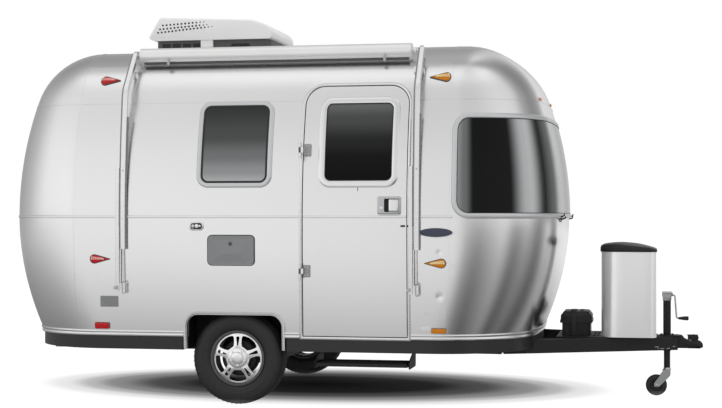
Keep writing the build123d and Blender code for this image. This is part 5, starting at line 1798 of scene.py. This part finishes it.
        fit("caster_hub", turned((cx, 0, 0.077), Y_AXIS, hub, 48, True), "plastic", ["jack_wheel"],
            body="jack_wheel")

    def cover(self) -> None:
        """Gas cover with folded feet, and its domed lid."""
        low, high = self.cover_z
        wall = ring_wall(fill_in(self.cover_plan(0.0), 0.05), low, high, 0.0035)
        foot = ring_wall(self.cover_plan(0.0022), low, low + 0.012, 0.004)
        rim = ring_wall(self.cover_plan(0.0015), high - 0.01, high, 0.003)
        fit("gas_cover_shell", [wall, foot, rim], "cover", ["gas_cover"], 30)
        centre = np.array([(self.cover_x[0] + self.cover_x[1]) / 2, 0.0])
        rows = []
        for inset, share, lift in ((0.01, 1, 0.0), (0.002, 1, 0.0004), (0.0, 1, 0.003), (0.0005, 1, 0.03),
                (0.003, 1, 0.043), (0.009, 1, 0.051), (0.024, 1, 0.057), (0.024, 0.8, 0.061),
                (0.024, 0.6, 0.064), (0.024, 0.4, 0.0657), (0.024, 0.2, 0.0665)):
            line = centre + share * (self.cover_plan(0.008 - inset) - centre)
            away = (line[:, 0] - (centre[0] - 0.06)) / 0.26
            fall = 1 - np.where(away > 0, 0.66, 0.3) * away**2 * min(1.0, lift / 0.03)
            rows.append(np.column_stack([line, high + 0.001 + lift * fall]))
        fit("gas_cover_lid", loft(rows), "plastic", ["gas_lid"], 50, body="gas_lid")

    def power(self) -> None:
        """Battery box: ribbed tub, chamfered lid, strap with buckle, and vents."""
        low, high = self.battery
        tub = [block(low, high, 0.012)]
        for k in range(6):
            x = low[0] + 0.02 + 0.033 * k
            tub += [block((x, side * 0.145 - 0.0025, low[2] + 0.006), (x + 0.006, side * 0.145 + 0.0025,
                high[2] - 0.004)) for side in (-1, 1)]
        fit("battery_tub", tub, "plastic", ["battery_box"], bevel=0.0015)
        rows = []
        for inset, z in ((0.004, 0.5352), (0.0, 0.537), (0.0, 0.556), (0.0015, 0.558), (0.004, 0.56),
                (0.005, 0.59), (0.026, 0.618), (0.029, 0.6205), (0.034, 0.6215)):
            line = rounded((low[0] - 0.015 + inset, low[1] - 0.01 + inset), (high[0] + 0.015 - inset,
                high[1] + 0.01 - inset), 0.014, 5)
            rows.append(np.column_stack([line, np.full(len(line), z)]))
        fit("battery_lid", loft(rows), "plastic", ["battery_box"], 26)
        middle = (low[0] + high[0]) / 2 - 0.02
        strap = [(middle, -0.157, 0.447), (middle, -0.158, 0.56), (middle, -0.153, 0.592),
            (middle, -0.131, 0.6215), (middle, 0.0, 0.6225), (middle, 0.131, 0.6215),
            (middle, 0.153, 0.592), (middle, 0.158, 0.56), (middle, 0.157, 0.447)]
        band = bar(middle, 0.019, [(y, z) for _, y, z in strap], 0.0026)
        fit("battery_strap", band, "seal", ["battery_box"], 60)
        bits = [block((middle - 0.023, -0.06, 0.6215), (middle + 0.023, -0.03, 0.6285), 0.003),
            block((middle + 0.045, -0.03, 0.621), (middle + 0.075, 0.03, 0.6285), 0.006)]
        bits += [block((middle - 0.05 + 0.012 * k, -0.1582, 0.566), (middle - 0.044 + 0.012 * k, -0.1545,
            0.584)) for k in range(-3, 1)]
        fit("battery_fittings", bits, "plastic", ["battery_box"], bevel=0.001)

    def build(self) -> None:
        """Build everything on the tongue."""
        self.frame()
        self.coupler()
        self.jack()
        self.cover()
        self.power()


# ------------------------------------------------------------------------- small fittings
def swell(outline: Array, height: float, reach: float) -> Callable[[Array], Array]:
    """Relief that rises from an outline to its full height within reach of it.

    Args:
        outline: the outline.
        height: the full height.
        reach: distance over which it rises.

    Returns:
        The relief, for a sheet.
    """
    line = fill_in(outline, 0.004)

    def relief(flat: Array) -> Array:
        """Quarter circle of the distance from the outline."""
        away = np.linalg.norm(flat[:, None] - line[None], axis=2).min(1)
        return height * np.sqrt(np.clip(1 - (1 - np.clip(away / reach, 0, 1)) ** 2, 0, 1))

    return relief


def teardrop(x: float, z: float, way: int) -> Array:
    """Outline of a marker lamp from its rear place x: a round end and a small round tip.

    Args:
        x: its rearmost place.
        z: height of its middle.
        way: 1 where the tip is in front, -1 where it is behind.

    Returns:
        The outline.
    """
    length, half, tip = 0.15, 0.0335, 0.004
    blunt = x + (half if way > 0 else length - half)
    point = x + (length - tip if way > 0 else tip)
    lean = math.asin((half - tip) / abs(point - blunt))
    open_turn = math.pi / 2 - lean
    big = np.linspace(open_turn, 2 * math.pi - open_turn, 28)
    small = np.linspace(-open_turn, open_turn, 9)
    points = [np.stack([half * np.cos(big), half * np.sin(big)], -1),
        np.stack([abs(point - blunt) + tip * np.cos(small), tip * np.sin(small)], -1)]
    line = np.concatenate(points)
    if way < 0:
        line = line[::-1] * (-1, 1)
    return line + (blunt, z)


@dataclass
class Fittings:
    """Lamps, reflectors, outlets, service hatch, door furniture, latches and plates."""

    lamps: tuple = (("red", -1.051, 1.018, 1), ("red", -1.043, 2.293, 1), ("amber", 1.338, 1.0, -1),
        ("amber", 1.349, 2.277, -1))
    reflectors: tuple = (("red", -1.02, -0.91, 0.525, 0.571), ("amber", 1.382, 1.495, 0.525, 0.56))
    hatch: tuple = OPENINGS.hatch[:2]
    pin: tuple = (ahead(0.48), -1.246)
    hinge_rows: tuple = (0.942, 1.775)

    @staticmethod
    def patch(outline: Array, out: float, thick: float, height: float = 0.0, reach: float = 0.01,
            step: float = 0.008) -> Mesh:
        """Piece laid on the wall inside a (u, z) outline, swelling outwards.

        Args:
            outline: the outline.
            out: height of its face over the skin.
            thick: its thickness.
            height: how much the face swells.
            reach: distance over which it swells.
            step: distance between its points.

        Returns:
            The mesh.
        """
        line = SHELL.on_wall(outline)
        relief = swell(line, height, reach) if height else None
        return sheet(Pattern(line, (), step), out, thick, (0, 0, 0), relief)

    @staticmethod
    def both(outline: Array) -> list[Array]:
        """A (u, z) outline and its mirror image on the street side."""
        return [outline, OPENINGS.mirrored(outline)]

    @staticmethod
    def grown(outline: Array, margin: float) -> Array:
        """An anticlockwise outline moved outwards by a margin."""
        along = np.roll(outline, -1, 0) - np.roll(outline, 1, 0)
        out = np.stack([along[:, 1], -along[:, 0]], -1)
        return outline + margin * unit(out)

    def lights(self) -> None:
        """Marker lamps with beaded lenses on grey bases, reflectors and tail lamps; the beads are coloured
        pale as painted highlights.
        """
        lens = {"red": [], "amber": []}
        bead_highlights = {"red": [], "amber": []}
        bases = []
        for colour, x, z, way in self.lamps:
            for shape in self.both(teardrop(ahead(x), z, way)):
                lens[colour].append(self.patch(self.grown(shape, -0.005), 0.004, 0.005, 0.01, 0.02, 0.006))
                bases.append(self.patch(shape, 0.0042, 0.0042, 0.0, step=0.02))
            blunt = ahead(x) + (0.0335 if way > 0 else 0.1165)
            # Two rows of raised beads on each lamp, coloured pale as painted highlights.
            for lift, count, first in ((0.013, 6, -0.014), (0.001, 7, -0.018)):
                spots = np.array([(blunt + way * (first + 0.0145 * k), z + lift * (1 - 0.12 * k))
                    for k in range(count)])
                for line in self.both(spots):
                    flat = SHELL.on_wall(line)
                    bead_highlights[colour].append(domes(SHELL.place(flat, 0.0137), SHELL.normal(flat[:, 0],
                        flat[:, 1]), 0.0066, 0.003))
        for colour, first, last, low, high in self.reflectors:
            outline = rounded((ahead(first), low), (ahead(last), high), 0.01, 5)
            for shape in self.both(outline):
                lens[colour].append(self.patch(self.grown(shape, -0.002), 0.01, 0.0035, 0.0038, 0.01,
                    0.009))
                bases.append(self.patch(shape, 0.01, 0.009, step=0.03))
        for side in (-1, 1):
            u = sorted((SHELL.rear_u(side * 0.585), SHELL.rear_u(side * 0.69)))
            outline = rounded((u[0], 0.9), (u[1], 1.18), 0.025, 6)
            lens["red"].append(self.patch(self.grown(outline, -0.006), 0.004, 0.004, 0.0095, 0.014, 0.012))
            bases.append(self.patch(outline, 0.006, 0.006, step=0.03))
        fit("marker_lamp_bases", bases, "grey", smooth=40)
        for colour in lens:
            fit(f"{colour}_lenses", lens[colour], colour, [f"lamps_{colour}"])
            fit(f"{colour}_lens_beads", bead_highlights[colour], f"{colour}_bead",
                [f"lamps_{colour}"], 60)

    def outlets(self) -> None:
        """Curb-side inlet, furnace vent and courtesy lamp; blank oval and data plates."""
        bezel = rounded((ahead(-0.317), 1.22), (ahead(-0.215), 1.282), 0.026, 7)
        rim = self.patch(bezel, 0.006, 0.006, 0.0045, 0.006, 0.006)
        fit("inlet_bezel", rim, "trim", ["side_outlets"])
        well = self.patch(rounded((ahead(-0.306), 1.229), (ahead(-0.223), 1.273), 0.018, 7), 0.0112, 0.003)
        post = self.patch(rounded((ahead(-0.289), 1.234), (ahead(-0.286), 1.27), 0.001, 2), 0.0135, 0.003)
        fit("inlet_grille", well, "plastic", ["side_outlets"])
        caps = [self.patch((ahead(c), 1.252) + r * circle(20), 0.0125, 0.002, 0.002, r, 0.006)
            for c, r in ((-0.29, 0.0095), (-0.262, 0.014), (-0.24, 0.008))]
        fit("inlet_caps", [*caps, post], "trim", ["side_outlets"])
        vent = rounded((ahead(-0.975), 0.681), (ahead(-0.844), 0.758), 0.006, 4)
        slats = [self.patch(rounded((ahead(-0.965), 0.689 + 0.0125 * k),
            (ahead(-0.854), 0.696 + 0.0125 * k), 0.002, 3), 0.0052, 0.002, 0.0022, 0.004) for k in range(5)]
        fit("furnace_vent", [self.patch(vent, 0.004, 0.004, 0.0015, 0.004, 0.01), *slats], "grey_cover",
            ["side_outlets"])
        lamp = rounded((ahead(1.312), 0.536), (ahead(1.385), 0.569), 0.015, 6)
        fit("courtesy_lamp", self.patch(lamp, 0.01, 0.01, 0.004, 0.012, 0.006), "clear")
        oval, inner = ((ahead(1.417), 1.2095) + circle(64) * size for size in ((0.12, 0.036),
            (0.114, 0.0305)))
        fit("blank_oval_rim", self.patch(oval, 0.003, 0.003, 0.001, 0.004, 0.012), "trim")
        fit("blank_oval_plate", self.patch(inner, 0.0042, 0.002, 0.0012, 0.02, 0.012), "oval")
        small = [self.patch(rounded((ahead(x), z), (ahead(x) + w, z + h), 0.002, 3), 0.0012, 0.0012)
            for x, z, w, h in ((1.33, 0.64, 0.05, 0.03), (-1.105, 2.118, 0.016, 0.01))]
        fit("blank_data_plates", small, "trim")

    def service(self) -> None:
        """Service hatch with its embossed panel, lock and hinge tube, and its frame."""
        low, high = self.hatch

        def plane(flat: Array, out: Real) -> Array:
            """Rows of (x, z) on the hatch's flat face."""
            return np.column_stack([flat[:, 0], np.full(len(flat), -1.227) - out, flat[:, 1]])

        outline = rounded(low, high, 0.026, 7)
        middle = np.array([(low[0] + high[0]) / 2, (low[1] + high[1]) / 2])
        ridge = low[1] + 0.38 * (high[1] - low[1])

        def emboss(flat: Array) -> Array:
            """Height of the panel: a raised rim, and a hipped roof on the sunk middle."""
            part = np.abs(flat - middle) / ((np.array(high) - low) / 2)
            edge = part.max(1)
            rim = np.clip((0.97 - edge) / 0.03, 0, 1)
            recess = np.clip((0.88 - edge) / 0.05, 0, 1)
            span = np.where(flat[:, 1] > ridge, high[1] - ridge, ridge - low[1])
            hip = np.maximum(np.abs(flat[:, 1] - ridge) / span, (part[:, 0] - 0.34) / 0.66)
            return 0.0012 + 0.0022 * rim - 0.0034 * recess + 0.017 * np.clip((0.86 - hip) / 0.86, 0, 1)

        extra = np.array([(x, z) for x in np.linspace(low[0], high[0], 42)[1:-1]
            for z in np.linspace(low[1], high[1], 26)[1:-1]])
        panel = sheet(Pattern(outline, (), 0.012, extra), 0.0, 0.005, (0, 0, 0), emboss, surface=plane)
        fit("hatch_panel", panel, "grey_cover", ["service_hatch"], body="service_hatch")
        at = (middle[0] - 0.002, -1.236, high[1] - 0.055)
        lock = [turned(at, (0, -1, 0), mm((-6, 12.5), (2, 12.5), (3, 11.2), (3, 8.8), (1.6, 8.2),
            (1.8, 0.4)), 28), block((at[0] - 0.0012, -1.2385, at[2] - 0.0055), (at[0] + 0.0012, -1.2372,
            at[2] + 0.0055))]
        fit("hatch_lock", lock, "grey", ["service_hatch"], body="service_hatch")
        tube_line = [(low[0] + 0.012, -1.2268, high[1] + 0.003), (high[0] - 0.012, -1.2268,
            high[1] + 0.003)]
        fit("hatch_hinge_tube", tube(tube_line, 0.0024, 12), "grey")
        ring = mm((0, 0), (7, 0), (6.5, 2), (4, 3.2), (0.8, 3))
        loop = SHELL.on_wall(fill_in(rounded((low[0] - 0.0015, low[1] - 0.0015),
            (high[0] + 0.0015, high[1] + 0.0015), 0.0275, 7), 0.05))
        fit("hatch_frame", moulding(loop, ring), "grey")

    def door_parts(self) -> None:
        """Hinge leaves and knuckles, the latch with its paddle, keeper and hold-back."""
        x, y = self.pin
        moving, fixed, screws, leaves, slots = [], [], [], [], []
        for z in self.hinge_rows:
            plate = rounded((x + 0.014, z - 0.042), (x + 0.066, z + 0.042), 0.007, 5)
            leaves.append(self.patch(plate, 0.009, 0.009, 0.004, 0.006, 0.012))
            moving.append(block((x - 0.001, y - 0.0048, z - 0.0178), (x + 0.024, y + 0.0048, z + 0.0178)))
            slots.append(turned((x, y, z), Z_AXIS, mm((-17.8, 4.2), (-17.8, 7.8), (-16.5, 9), (16.5, 9),
                (17.8, 7.8), (17.8, 4.2)), 24, True))
            for way in (-1, 1):
                fixed.append(turned((x, y, z + way * 0.0364), Z_AXIS, mm((-17.6, 4), (-17.6, 10),
                    (-16.3, 11.4), (16.3, 11.4), (17.6, 10), (17.6, 4)), 24, True))
                fixed.append(block((x - 0.0108, y - 0.0038, z + way * 0.0364 - 0.0172), (x + 0.003, -1.2185,
                    z + way * 0.0364 + 0.0172)))
                for across in (0.03, 0.052):
                    spot = SHELL.on_wall(np.array([(x + across, z + way * 0.027)]))
                    facing = SHELL.normal(spot[:, 0], spot[:, 1])[0]
                    screws.append(turned(SHELL.place(spot, 0.0125)[0], facing, mm((0, 5.5), (1.6, 5),
                        (2.4, 3), (2.6, 0.4)), 16))
            fixed.append(turned((x, y, z), Z_AXIS, mm((-54, 3.6), (54, 3.6)), 20))
        for name, parts, paint, smooth in (("leaves", leaves, "hinge", 40), ("barrels", moving, "trim", 40),
                ("slots", slots, "grey", 40), ("screws", screws, "zinc", 35)):
            fit(f"door_hinge_{name}", parts, paint, ["door_hardware"], smooth, "entry_door")
        fit("door_hinge_knuckles", fixed, "trim", ["door_frame"], 40)
        low, high = (ahead(1.016), 1.332), (ahead(1.178), 1.455)
        bezel = rounded(low, high, 0.013, 6)
        hole = rounded((low[0] + 0.048, low[1] + 0.016), (high[0] - 0.013, high[1] - 0.016), 0.008, 5)
        line, gap = SHELL.on_wall(bezel), SHELL.on_wall(hole)
        frame = sheet(Pattern(line, [gap], 0.008), 0.008, 0.008, (0, 0, 0), swell(line, 0.005, 0.01))
        fit("door_latch_bezel", frame, "zinc", ["door_hardware"], 40, body="entry_door")
        # A near-black sheet in the latch bezel's hole: painted shade in the recess.
        fit("door_latch_recess_painted_shade", self.patch(hole, 0.0012, 0.002), "well", ["door_hardware"],
            body="entry_door")
        paddle = rounded((low[0] + 0.08, low[1] + 0.019), (high[0] - 0.016, high[1] - 0.019), 0.006, 4)
        key = SHELL.on_wall(np.array([(low[0] + 0.029, low[1] + 0.044)]))
        facing = SHELL.normal(key[:, 0], key[:, 1])[0]
        parts = [self.patch(paddle, 0.006, 0.006, 0.004, 0.012, 0.008), turned(SHELL.place(key, 0.0)[0],
            facing, mm((0, 10.5), (14, 10.5), (15.5, 9), (15.5, 0.4)), 28)]
        fit("door_latch_paddle", parts, "trim", ["door_hardware"], body="entry_door")
        catch = self.patch(rounded((ahead(1.176), 1.2465), (ahead(1.207), 1.259), 0.003, 3), 0.007, 0.007,
            0.002, 0.003, 0.005)
        fit("door_holdback", catch, "plastic", body="entry_door")
        keeper = self.patch(rounded((ahead(1.2235), 1.244), (ahead(1.24), 1.261), 0.003, 3), 0.0092, 0.009,
            0.002, 0.003, 0.005)
        fit("door_keeper", keeper, "plastic")
        grab = tube([(ahead(1.24), -1.226, 1.4), (ahead(1.24), -1.236, 1.425), (ahead(1.24), -1.238, 1.53),
            (ahead(1.24), -1.231, 1.64), (ahead(1.24), -1.214, 1.665)], 0.0045, 10)
        fit("door_hold_bar", grab, "grey", smooth=60)
        drip = self.patch(rounded((ahead(0.876), 1.492), (ahead(0.88), 1.516), 0.001, 2), 0.001, 0.001)
        fit("door_window_joint", drip, "well", body="entry_door")

    def nose(self) -> None:
        """Stone-guard latches on the front belt and three clearance lamps above the window."""
        hooks = []
        for place in (-0.6, 0.6):
            u = SHELL.nose_u() + place
            for off, z in ((0.0, 1.318), (0.05, 1.3)):
                spot = np.array([(u + off, float(SHELL.s_of(z)))])
                base = SHELL.place(spot, 0.0)[0]
                out = SHELL.normal(spot[:, 0], spot[:, 1])[0]
                hooks.append(tube([base, base + 0.018 * out, base + 0.034 * out + (0, 0, 0.006),
                    base + 0.038 * out + (0, 0, 0.018)], 0.0055, 10))
                hooks.append(tube([base + 0.004 * out + (0, 0, -0.022), base + 0.01 * out + (0, 0, 0.018)],
                    0.008, 10, 0.5))
        fit("guard_latches", hooks, "black", smooth=50)
        lamps, bases = [], []
        for off in (-0.62, 0.0, 0.62):
            u = SHELL.nose_u() + off
            outline = rounded((u - 0.045, 2.134), (u + 0.045, 2.158), 0.01, 5)
            bases.append(self.patch(outline, 0.004, 0.004, step=0.03))
            lamps.append(self.patch(self.grown(outline, -0.003), 0.0035, 0.003, 0.013, 0.014, 0.01))
        fit("front_clearance_bases", bases, "trim")
        fit("front_clearance_lenses", lamps, "amber")

    def build(self) -> None:
        """Build every small fitting."""
        self.lights()
        self.outlets()
        self.service()
        self.door_parts()
        self.nose()


@dataclass
class EntryStep:
    """Pull-out step: side plates, ribbed tread and the channel behind it."""

    x: tuple = (ahead(0.575), ahead(1.215))
    y: tuple = (-1.175, -0.915)
    z: tuple = (0.285, 0.312)

    def build(self) -> None:
        """Build the step."""
        plates = []
        for x in (self.x[0] - 0.014, self.x[1] + 0.006):
            outline = soften([(-1.16, 0.27), (-0.88, 0.27), (-0.88, 0.385), (-0.96, 0.385), (-1.16, 0.325)],
                0.022)
            plates.append(prism(outline, (x, 0, 0), Y_AXIS, Z_AXIS, 0.008))
        low, high = self.x[0] - 0.014, self.x[1] + 0.014
        plates += [block((low, -0.905, 0.372), (high, -0.88, 0.44)), block((low, -1.0, 0.377),
            (low + 0.054, -0.88, 0.44)), block((high - 0.054, -1.0, 0.377), (high, -0.88, 0.44))]
        fit("step_side_plates", plates, "black", ["step_bracket"], bevel=0.0025)
        tread = [block((self.x[0], self.y[0], self.z[1] - 0.004), (self.x[1], self.y[1], self.z[1]))]
        for y in (self.y[0], self.y[1] - 0.004):
            tread.append(block((self.x[0], y, self.z[0]), (self.x[1], y + 0.004, self.z[1])))
        for x in (self.x[0], self.x[1] - 0.004):
            tread.append(block((x, self.y[0], self.z[0]), (x + 0.004, self.y[1], self.z[1])))
        fit("step_tread_pan", tread, "black", ["step_tread"], body="step", bevel=0.001)
        pads = [block((self.x[0] + 0.02, self.y[0] + 0.018 + 0.026 * k, self.z[1] - 0.0005),
            (self.x[1] - 0.02, self.y[0] + 0.03 + 0.026 * k, self.z[1] + 0.0012)) for k in range(9)]
        fit("step_grip_strips", pads, "seal", ["step_tread"], body="step")


# --------------------------------------------------------------------------------- studio
@dataclass
class Studio:
    """White floor and background, a soft lamp, the light that metal mirrors and the camera.

    To the camera the world is white, and so is the floor but for a painted shadow pool
    under the trailer.  What metal and glass mirror is a white studio with painted shade on
    the floor near the trailer and a few dark gaps between its screens, painted into the
    world and floor by heading: 0 is square out from the curb side and positive towards the
    front.
    """

    camera_at: tuple = (2.154, -11.276, 1.318)
    heading: float = 10.9
    lens: float = 74.8
    shift_y: float = 12.5 / 722
    ambient: tuple = (0.88, 0.62)
    key_power: float = 110.0
    turn_point: tuple = (1.0, -1.2)
    body_middle: tuple = (-0.48, 0.0)
    body_half: tuple = (1.9, 1.1)
    screens: tuple = ((-180, 0.8), (-150, 0.45), (-120, 0.42), (-90, 0.62), (-50, 0.9), (-12, 1.0),
        (-3, 0.8), (6, 0.36), (20, 0.22), (34, 0.42), (52, 0.72), (58, 0.6), (66, 0.24), (74, 0.24),
        (86, 0.48), (94, 0.4), (104, 0.2), (112, 0.24), (127, 0.85), (138, 0.3), (146, 0.24), (160, 0.9),
        (180, 0.9))
    overhead: tuple = ((0.0, 0.99), (0.16, 0.98), (0.34, 0.94), (0.57, 0.8), (0.77, 0.8), (0.95, 1.05),
        (1.0, 0.85))
    sky: tuple = ((-180, 0.5), (-130, 0.42), (-100, 0.6), (-70, 1.06), (-35, 1.12), (-12, 0.98), (-6, 0.86),
        (20, 0.88), (60, 1.06), (88, 1.0), (104, 0.5), (125, 0.3), (145, 0.42), (168, 0.9), (180, 0.7))
    # Grey of the floor in reflections by distance from the trailer: painted shade, darker near it.
    painted_floor_shade: tuple = ((0.0, 0.3), (0.06, 0.44), (0.12, 0.55), (0.25, 0.7), (0.45, 0.86), (0.7, 1.0),
        (1.0, 1.08))
    reach: float = 16.0
    # Painted shadow pool on the floor, for the camera: its middle, half sizes, grey by share of the way
    # out, how much of the floor it takes, and brightness outside it.
    painted_shadow_middle: tuple = (-0.4, 0.25)
    painted_shadow_half: tuple = (2.34, 1.32)
    shadow: tuple = ((0.0, 0.0), (0.38, 0.008), (0.55, 0.06), (0.71, 0.24), (0.79, 0.46), (0.88, 0.78),
        (1.0, 1.0))
    painted: float = 0.88
    white: float = 1.1

    @staticmethod
    def heading_ramp(graph: Graph, x: Socket, y: Socket, stops: Line) -> Socket:
        """Ramp over the heading of (x, y), from the arc tangent of x over minus y.

        Args:
            graph: the graph to put it in.
            x: the part along X.
            y: the part along Y.
            stops: stops of (degrees, grey).

        Returns:
            The colour.
        """
        turn = graph.maths("ARCTAN2", x, graph.maths("MULTIPLY", y, -1.0))
        share = graph.maths("MULTIPLY_ADD", turn, 0.5 / math.pi, 0.5)
        return graph.ramp([(0.5 + at / 360, grey) for at, grey in stops], share)

    @staticmethod
    def length(graph: Graph, parts: Sequence[Socket]) -> Socket:
        """Square root of the sum of two squares."""
        return graph.maths("SQRT", graph.maths("ADD", *(graph.maths("POWER", part, 2.0) for part in parts)))

    def world(self) -> None:
        """World: white to the camera, the overhead screens to metal, dimmer as a light."""
        world = bpy.data.worlds.new("studio")
        world.use_nodes = True
        bpy.context.scene.world = world
        graph = Graph(world.node_tree)
        way = graph.split(graph.out("TexCoord", "Generated"))
        around = self.heading_ramp(graph, way["X"], way["Y"], self.sky)
        mirrored = graph.maths("MULTIPLY", graph.ramp(self.overhead, way["Z"]), around)
        low, high = self.ambient
        level = graph.out("MapRange", "Result", {"Value": way["Z"], "To Min": low, "To Max": high})
        path = graph.add("LightPath").outputs
        for ray, value in (("Is Glossy Ray", mirrored), ("Is Transmission Ray", 1.0),
                ("Is Camera Ray", 1.0)):
            level = graph.out("Mix", "Result", {"Factor": path[ray], "A": level, "B": value})
        graph.feed(graph.tree.nodes["Background"], {"Strength": level, "Color": (1, 1, 1, 1)})

    def floor(self) -> None:
        """Large white floor: to the camera a painted shadow pool under the trailer over a little real
        shading, to metal a floor with painted shade near the trailer.
        """
        half = 80.0
        data = bpy.data.meshes.new("studio_floor")
        corners = [(-half, -half, 0), (half, -half, 0), (half, half, 0), (-half, half, 0)]
        data.from_pydata(corners, [], [(0, 1, 2, 3)])
        floor = bpy.data.objects.new("studio_floor", data)
        bpy.context.scene.collection.objects.link(floor)
        paint, graph, shader = new_material("studio_white_painted_shadow")
        graph.feed(shader, {"Base Color": (0.98, 0.98, 0.98, 1), "Roughness": 1.0,
            "Specular IOR Level": 0.0})
        at = graph.split(graph.out("TexCoord", "Object"))
        # What metal mirrors of the floor is painted: darker near the trailer as painted shade, times the
        # screens' ramp by heading.
        gaps = []
        for axis, middle, size in zip("XY", self.body_middle, self.body_half):
            away = graph.maths("ABSOLUTE", graph.maths("SUBTRACT", at[axis], middle))
            gaps.append(graph.maths("MAXIMUM", graph.maths("SUBTRACT", away, size), 0.0))
        near = graph.ramp(self.painted_floor_shade, graph.maths("DIVIDE", self.length(graph, gaps), self.reach))
        shifted = [graph.maths("SUBTRACT", at[axis], middle) for axis, middle in zip("XY", self.turn_point)]
        around = self.heading_ramp(graph, *shifted, self.screens)
        painted_mirrored_floor = graph.out("Emission", 0, {"Strength": graph.maths("MULTIPLY", near, around)})
        path = graph.add("LightPath").outputs
        # Painted shadow: grey by elliptical distance from the pool's middle, shown to camera rays over the
        # floor's real shading.
        shares = [graph.maths("DIVIDE", graph.maths("SUBTRACT", at[axis], middle), size)
            for axis, middle, size in zip("XY", self.painted_shadow_middle, self.painted_shadow_half)]
        painted_shadow_pool = graph.ramp(self.shadow, self.length(graph, shares), "EASE")
        lit = graph.out("Emission", 0, {"Strength": graph.maths("MULTIPLY", painted_shadow_pool, self.white)})
        seen = graph.maths("MULTIPLY", path["Is Camera Ray"], self.painted)
        shown = graph.out("MixShader", 0, {"Fac": seen, 1: shader.outputs["BSDF"], 2: lit})
        mix = graph.out("MixShader", 0, {"Fac": path["Is Glossy Ray"], 1: shown, 2: painted_mirrored_floor})
        graph.feed(graph.tree.nodes["Material Output"], {"Surface": mix})
        data.materials.append(paint)

    def lamp(self, name: str, at: Place, aim: Place, size: tuple[float, float], power: float) -> None:
        """One soft rectangular lamp, which metal doesn't mirror.

        Args:
            name: name of the lamp.
            at: its place.
            aim: the point that it faces.
            size: its two sides.
            power: its power in watts.
        """
        data = bpy.data.lights.new(name, "AREA")
        data.shape = "RECTANGLE"
        data.size, data.size_y = size
        data.energy = power
        lamp = bpy.data.objects.new(name, data)
        lamp.location = at
        lamp.rotation_euler = (Vector(aim) - Vector(at)).to_track_quat("-Z", "Y").to_euler()
        lamp.visible_glossy = False
        bpy.context.scene.collection.objects.link(lamp)

    def camera(self) -> None:
        """The camera, level, looking a little back from square on."""
        data = bpy.data.cameras.new("camera")
        data.lens, data.sensor_width = self.lens, 36.0
        data.shift_y = self.shift_y
        camera = bpy.data.objects.new("camera", data)
        camera.location = self.camera_at
        camera.rotation_euler = (math.pi / 2, 0.0, math.radians(self.heading))
        bpy.context.scene.collection.objects.link(camera)
        bpy.context.scene.camera = camera

    def build(self) -> None:
        """Set up the world, floor, lamp and camera."""
        bpy.context.scene.view_settings.view_transform = "Standard"
        self.world()
        self.floor()
        self.lamp("overhead", (-0.3, -1.0, 7.5), (-0.3, 0.0, 0.0), (9.0, 6.0), self.key_power)
        self.camera()


def main() -> None:
    """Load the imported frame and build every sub-assembly in order."""
    logging.basicConfig(level=logging.INFO, format="%(message)s", stream=sys.stdout)
    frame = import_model()
    Studio().build()
    for name in FINISHES:
        finish(name)
    PlainNodes.dress(frame)
    for part in (BodyPanels, Windows, Trims, EntryDoor, RoadWheels, RoofUnit, Awning, Tongue, Fittings,
            EntryStep):
        part().build()


if __name__ == "__main__":
    main()
